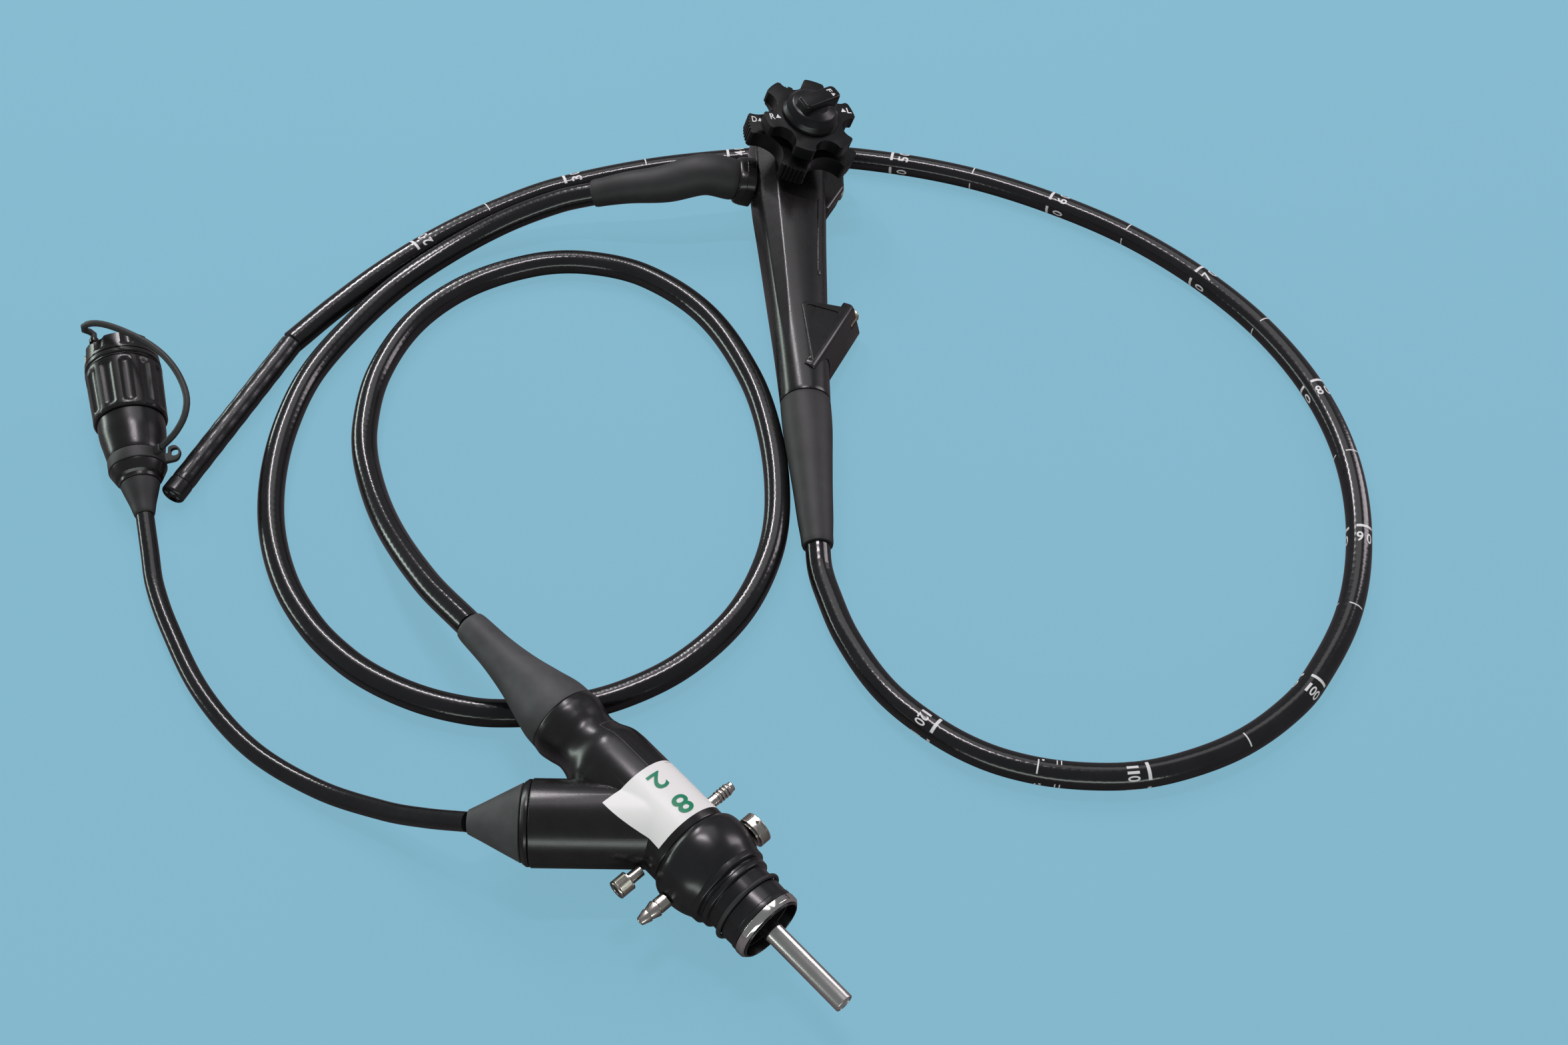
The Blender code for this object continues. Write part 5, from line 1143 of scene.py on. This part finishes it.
def knob_marks():
    """The function letters on the wheels and the dial, each with its arrow."""
    wheels = (
        ("up_down_knob", 35.1, 6, (("down_letter", "D", (2.9, 4.2), (-29.4, 1.0)),
                                   ("down_arrow", "", (3.0, 3.0), (-26.0, 1.3)))),
        ("right_left_knob", 46.9, 12, (("right_letter", "R", (3.0, 4.2), (-22.6, -6.6)),
                                       ("right_arrow", "", (3.2, 3.2), (-19.2, -5.8)),
                                       ("left_arrow", "", (3.2, 3.2), (20.6, 8.8)),
                                       ("left_letter", "L", (2.5, 4.2), (24.0, 9.5)))),
        ("right_left_brake", 61.4, -60, (("free_letter", "F", (2.2, 3.2), (7.2, 6.6)),
                                         ("free_arrow", "", (2.6, 2.6), (9.6, 4.4)))),
    )
    for body, level, turn, marks in wheels:
        for name, text, size, place in marks:
            mesh = flat_text(text, *size) if text else flat_shape(ARROW, *size)
            spot = Matrix.Translation((*place, level + 0.03)) @ turned(turn, "Z")
            for vert in mesh.verts:
                vert.co = CONTROL @ ((spot @ vert.co) * MM)
            printed(name, mesh, "print_white", body)


def arm_depth(place):
    """How far in millimetres a place lies inside the arm's barrel and its small clearance."""
    at = ARM.inverted() @ place / MM
    return ARM_RADIUS + 0.07 - math.hypot(at.y, at.z) if 0.0 < at.x < ARM_LENGTH else 0.0


def sheet(rows, columns, point):
    """A sheet of rows by columns faces over the places that a function gives."""
    mesh = bmesh.new()
    grid = [[mesh.verts.new(point(i, k)) for k in range(columns + 1)] for i in range(rows + 1)]
    for i in range(rows):
        for k in range(columns):
            mesh.faces.new((grid[i][k], grid[i + 1][k], grid[i + 1][k + 1], grid[i][k + 1]))
    return mesh


def label():
    """The white sticker round the connector housing, one corner lifted, with its plain green digits."""
    columns, rows = 40, 24
    start, length, first_turn, arc = 120.2, 30.6, -45, 122

    def point(i, k):
        share, turn = i / rows, first_turn + arc * k / columns
        corner = max(0.0, share - 0.8) * max(0.0, (-33 - turn) / 12.0)
        radius = 20.16 + 2.0 * corner + 0.03 * math.sin(9.0 * share + turn * 0.07)
        place = round_connector(start + length * share, radius, math.radians(turn))
        while arm_depth(place) > 0.0:
            radius += 0.05
            place = round_connector(start + length * share, radius, math.radians(turn))
        return place

    printed("housing_label", sheet(rows, columns, point), "label_white").data.shade_smooth()
    for name, text, station, turn, width, height in (
            ("label_digit_1", "2", 128.6, 14.1, 7.2, 8.6), ("label_digit_2", "8", 143.7, 16.1, 8.2, 9.6)):
        glyph = diced(flat_text(text, width, height), 0.8)
        for vert in glyph.verts:
            vert.co = round_connector(station + vert.co.y, 20.32, math.radians(turn) - vert.co.x / 20.3)
        printed(name, glyph, "label_green")


def nameplate():
    """The bare plate set flush in the housing, shown by its fine outline."""
    low, high = 88.5, 121.5
    shapes = []
    for start, end, from_turn, to_turn in (
            (low, high, 19.0, 19.9), (low, high, 62.0, 62.9),
            (low, low + 0.3, 19.0, 62.9), (high - 0.3, high, 19.0, 62.9)):
        columns = max(2, int(to_turn - from_turn))
        rows = 24 if end - start > 1 else 1

        def point(i, k):
            at = start + (end - start) * i / rows
            turn = math.radians(from_turn + (to_turn - from_turn) * k / columns)
            return round_connector(at, value_at(BARREL_WAIST, at) + 0.04, turn)

        shapes.append(sheet(rows, columns, point))
    printed("plate_edge", merged(shapes), "plate_line")


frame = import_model()
for make, name, *values in FINISHES:
    LOOKS[name] = make(name, *values)
set_stage()

NODE_LOOKS = {
    "satin_black": "head_housing grip_housing port_housing cord_collar connector_housing arm_collar "
                   "plug_body coupling_ring plug_cap",
    "knob_black": "ud_knob rl_knob ud_hub rl_brake_knob ud_brake_lever",
    "gloss_black": "connector_nose distal_tip",
    "boot_rubber": "grip_boot cord_boot connector_boot cable_cone seal_ring plug_boot retainer_ring",
    "switch_rubber": "switch_1 switch_2 switch_3",
    "cover_black": "bending_cover",
    "steel": "knob_shaft suction_cylinder air_water_cylinder water_pipe suction_drum vent_connector "
             "drain_nozzle bending_base " + " ".join("bending_link_%d" % (k + 1) for k in range(LINKS)),
    "rod_steel": "light_guide_rod",
    "polished_steel": "rim_ring",
    "brass": "port_mouth contact_block",
    "glass": "light_guide_glass objective_lens light_lens_1 light_lens_2",
}
for look, nodes in NODE_LOOKS.items():
    for node in nodes.split():
        frame["nodes"][node].data.materials.clear()
        frame["nodes"][node].data.materials.append(LOOKS[look])

# Cords, each from its exit
tube_heading = Vector((math.cos(math.radians(BENDING_HEADING)), math.sin(math.radians(BENDING_HEADING)), 0))
tube_path = lay_cord(
    "insertion_sheath", "insertion_tube",
    [world(CONTROL, 2.8 * TUBE_START / 267.5, TUBE_START, 15.0 * -TUBE_START / 267.5)] + scaled(TUBE_ROUTE)
    + [BENDING.translation - 1.6 * MM * tube_heading], TUBE_RADIUS)
boot_tip = Vector((27.0, 219.6, 25.5)) * MM
boot_heading = Vector((-1.0, -0.08, -0.19)).normalized()
lay_cord("universal_sheath", "universal_cord",
         [boot_tip - boot_heading * 1.2 * MM] + scaled(CORD_ROUTE) + [world(CONNECTOR, 0.2, 0, 0)],
         CORD_RADIUS)
lay_cord("video_sheath", "video_cable",
         ([world(PLUG, -0.6, 0, 0)] + scaled(CABLE_ROUTE) + [world(ARM, 86.6, 0, 0)])[::-1], CABLE_RADIUS)
lay_cord("tether_strand", "cap_tether",
         [world(TETHER_ROOT, 31.3, -19.0, 0)] + scaled(TETHER_ROUTE)
         + [world(PLUG, 110.4, 9.8, 13.6), world(PLUG, 106.4, 9.8, 13.6)], TETHER_RADIUS, "boot_rubber")

control_body()
grip_rail()
valves()
cord_exit()
grip_boot()
knobs()
switches()
instrument_port()
connector_body()
connector_nose()
fittings()
video_plug()
bending_section()
graduations(tube_path)
knob_marks()
label()
nameplate()
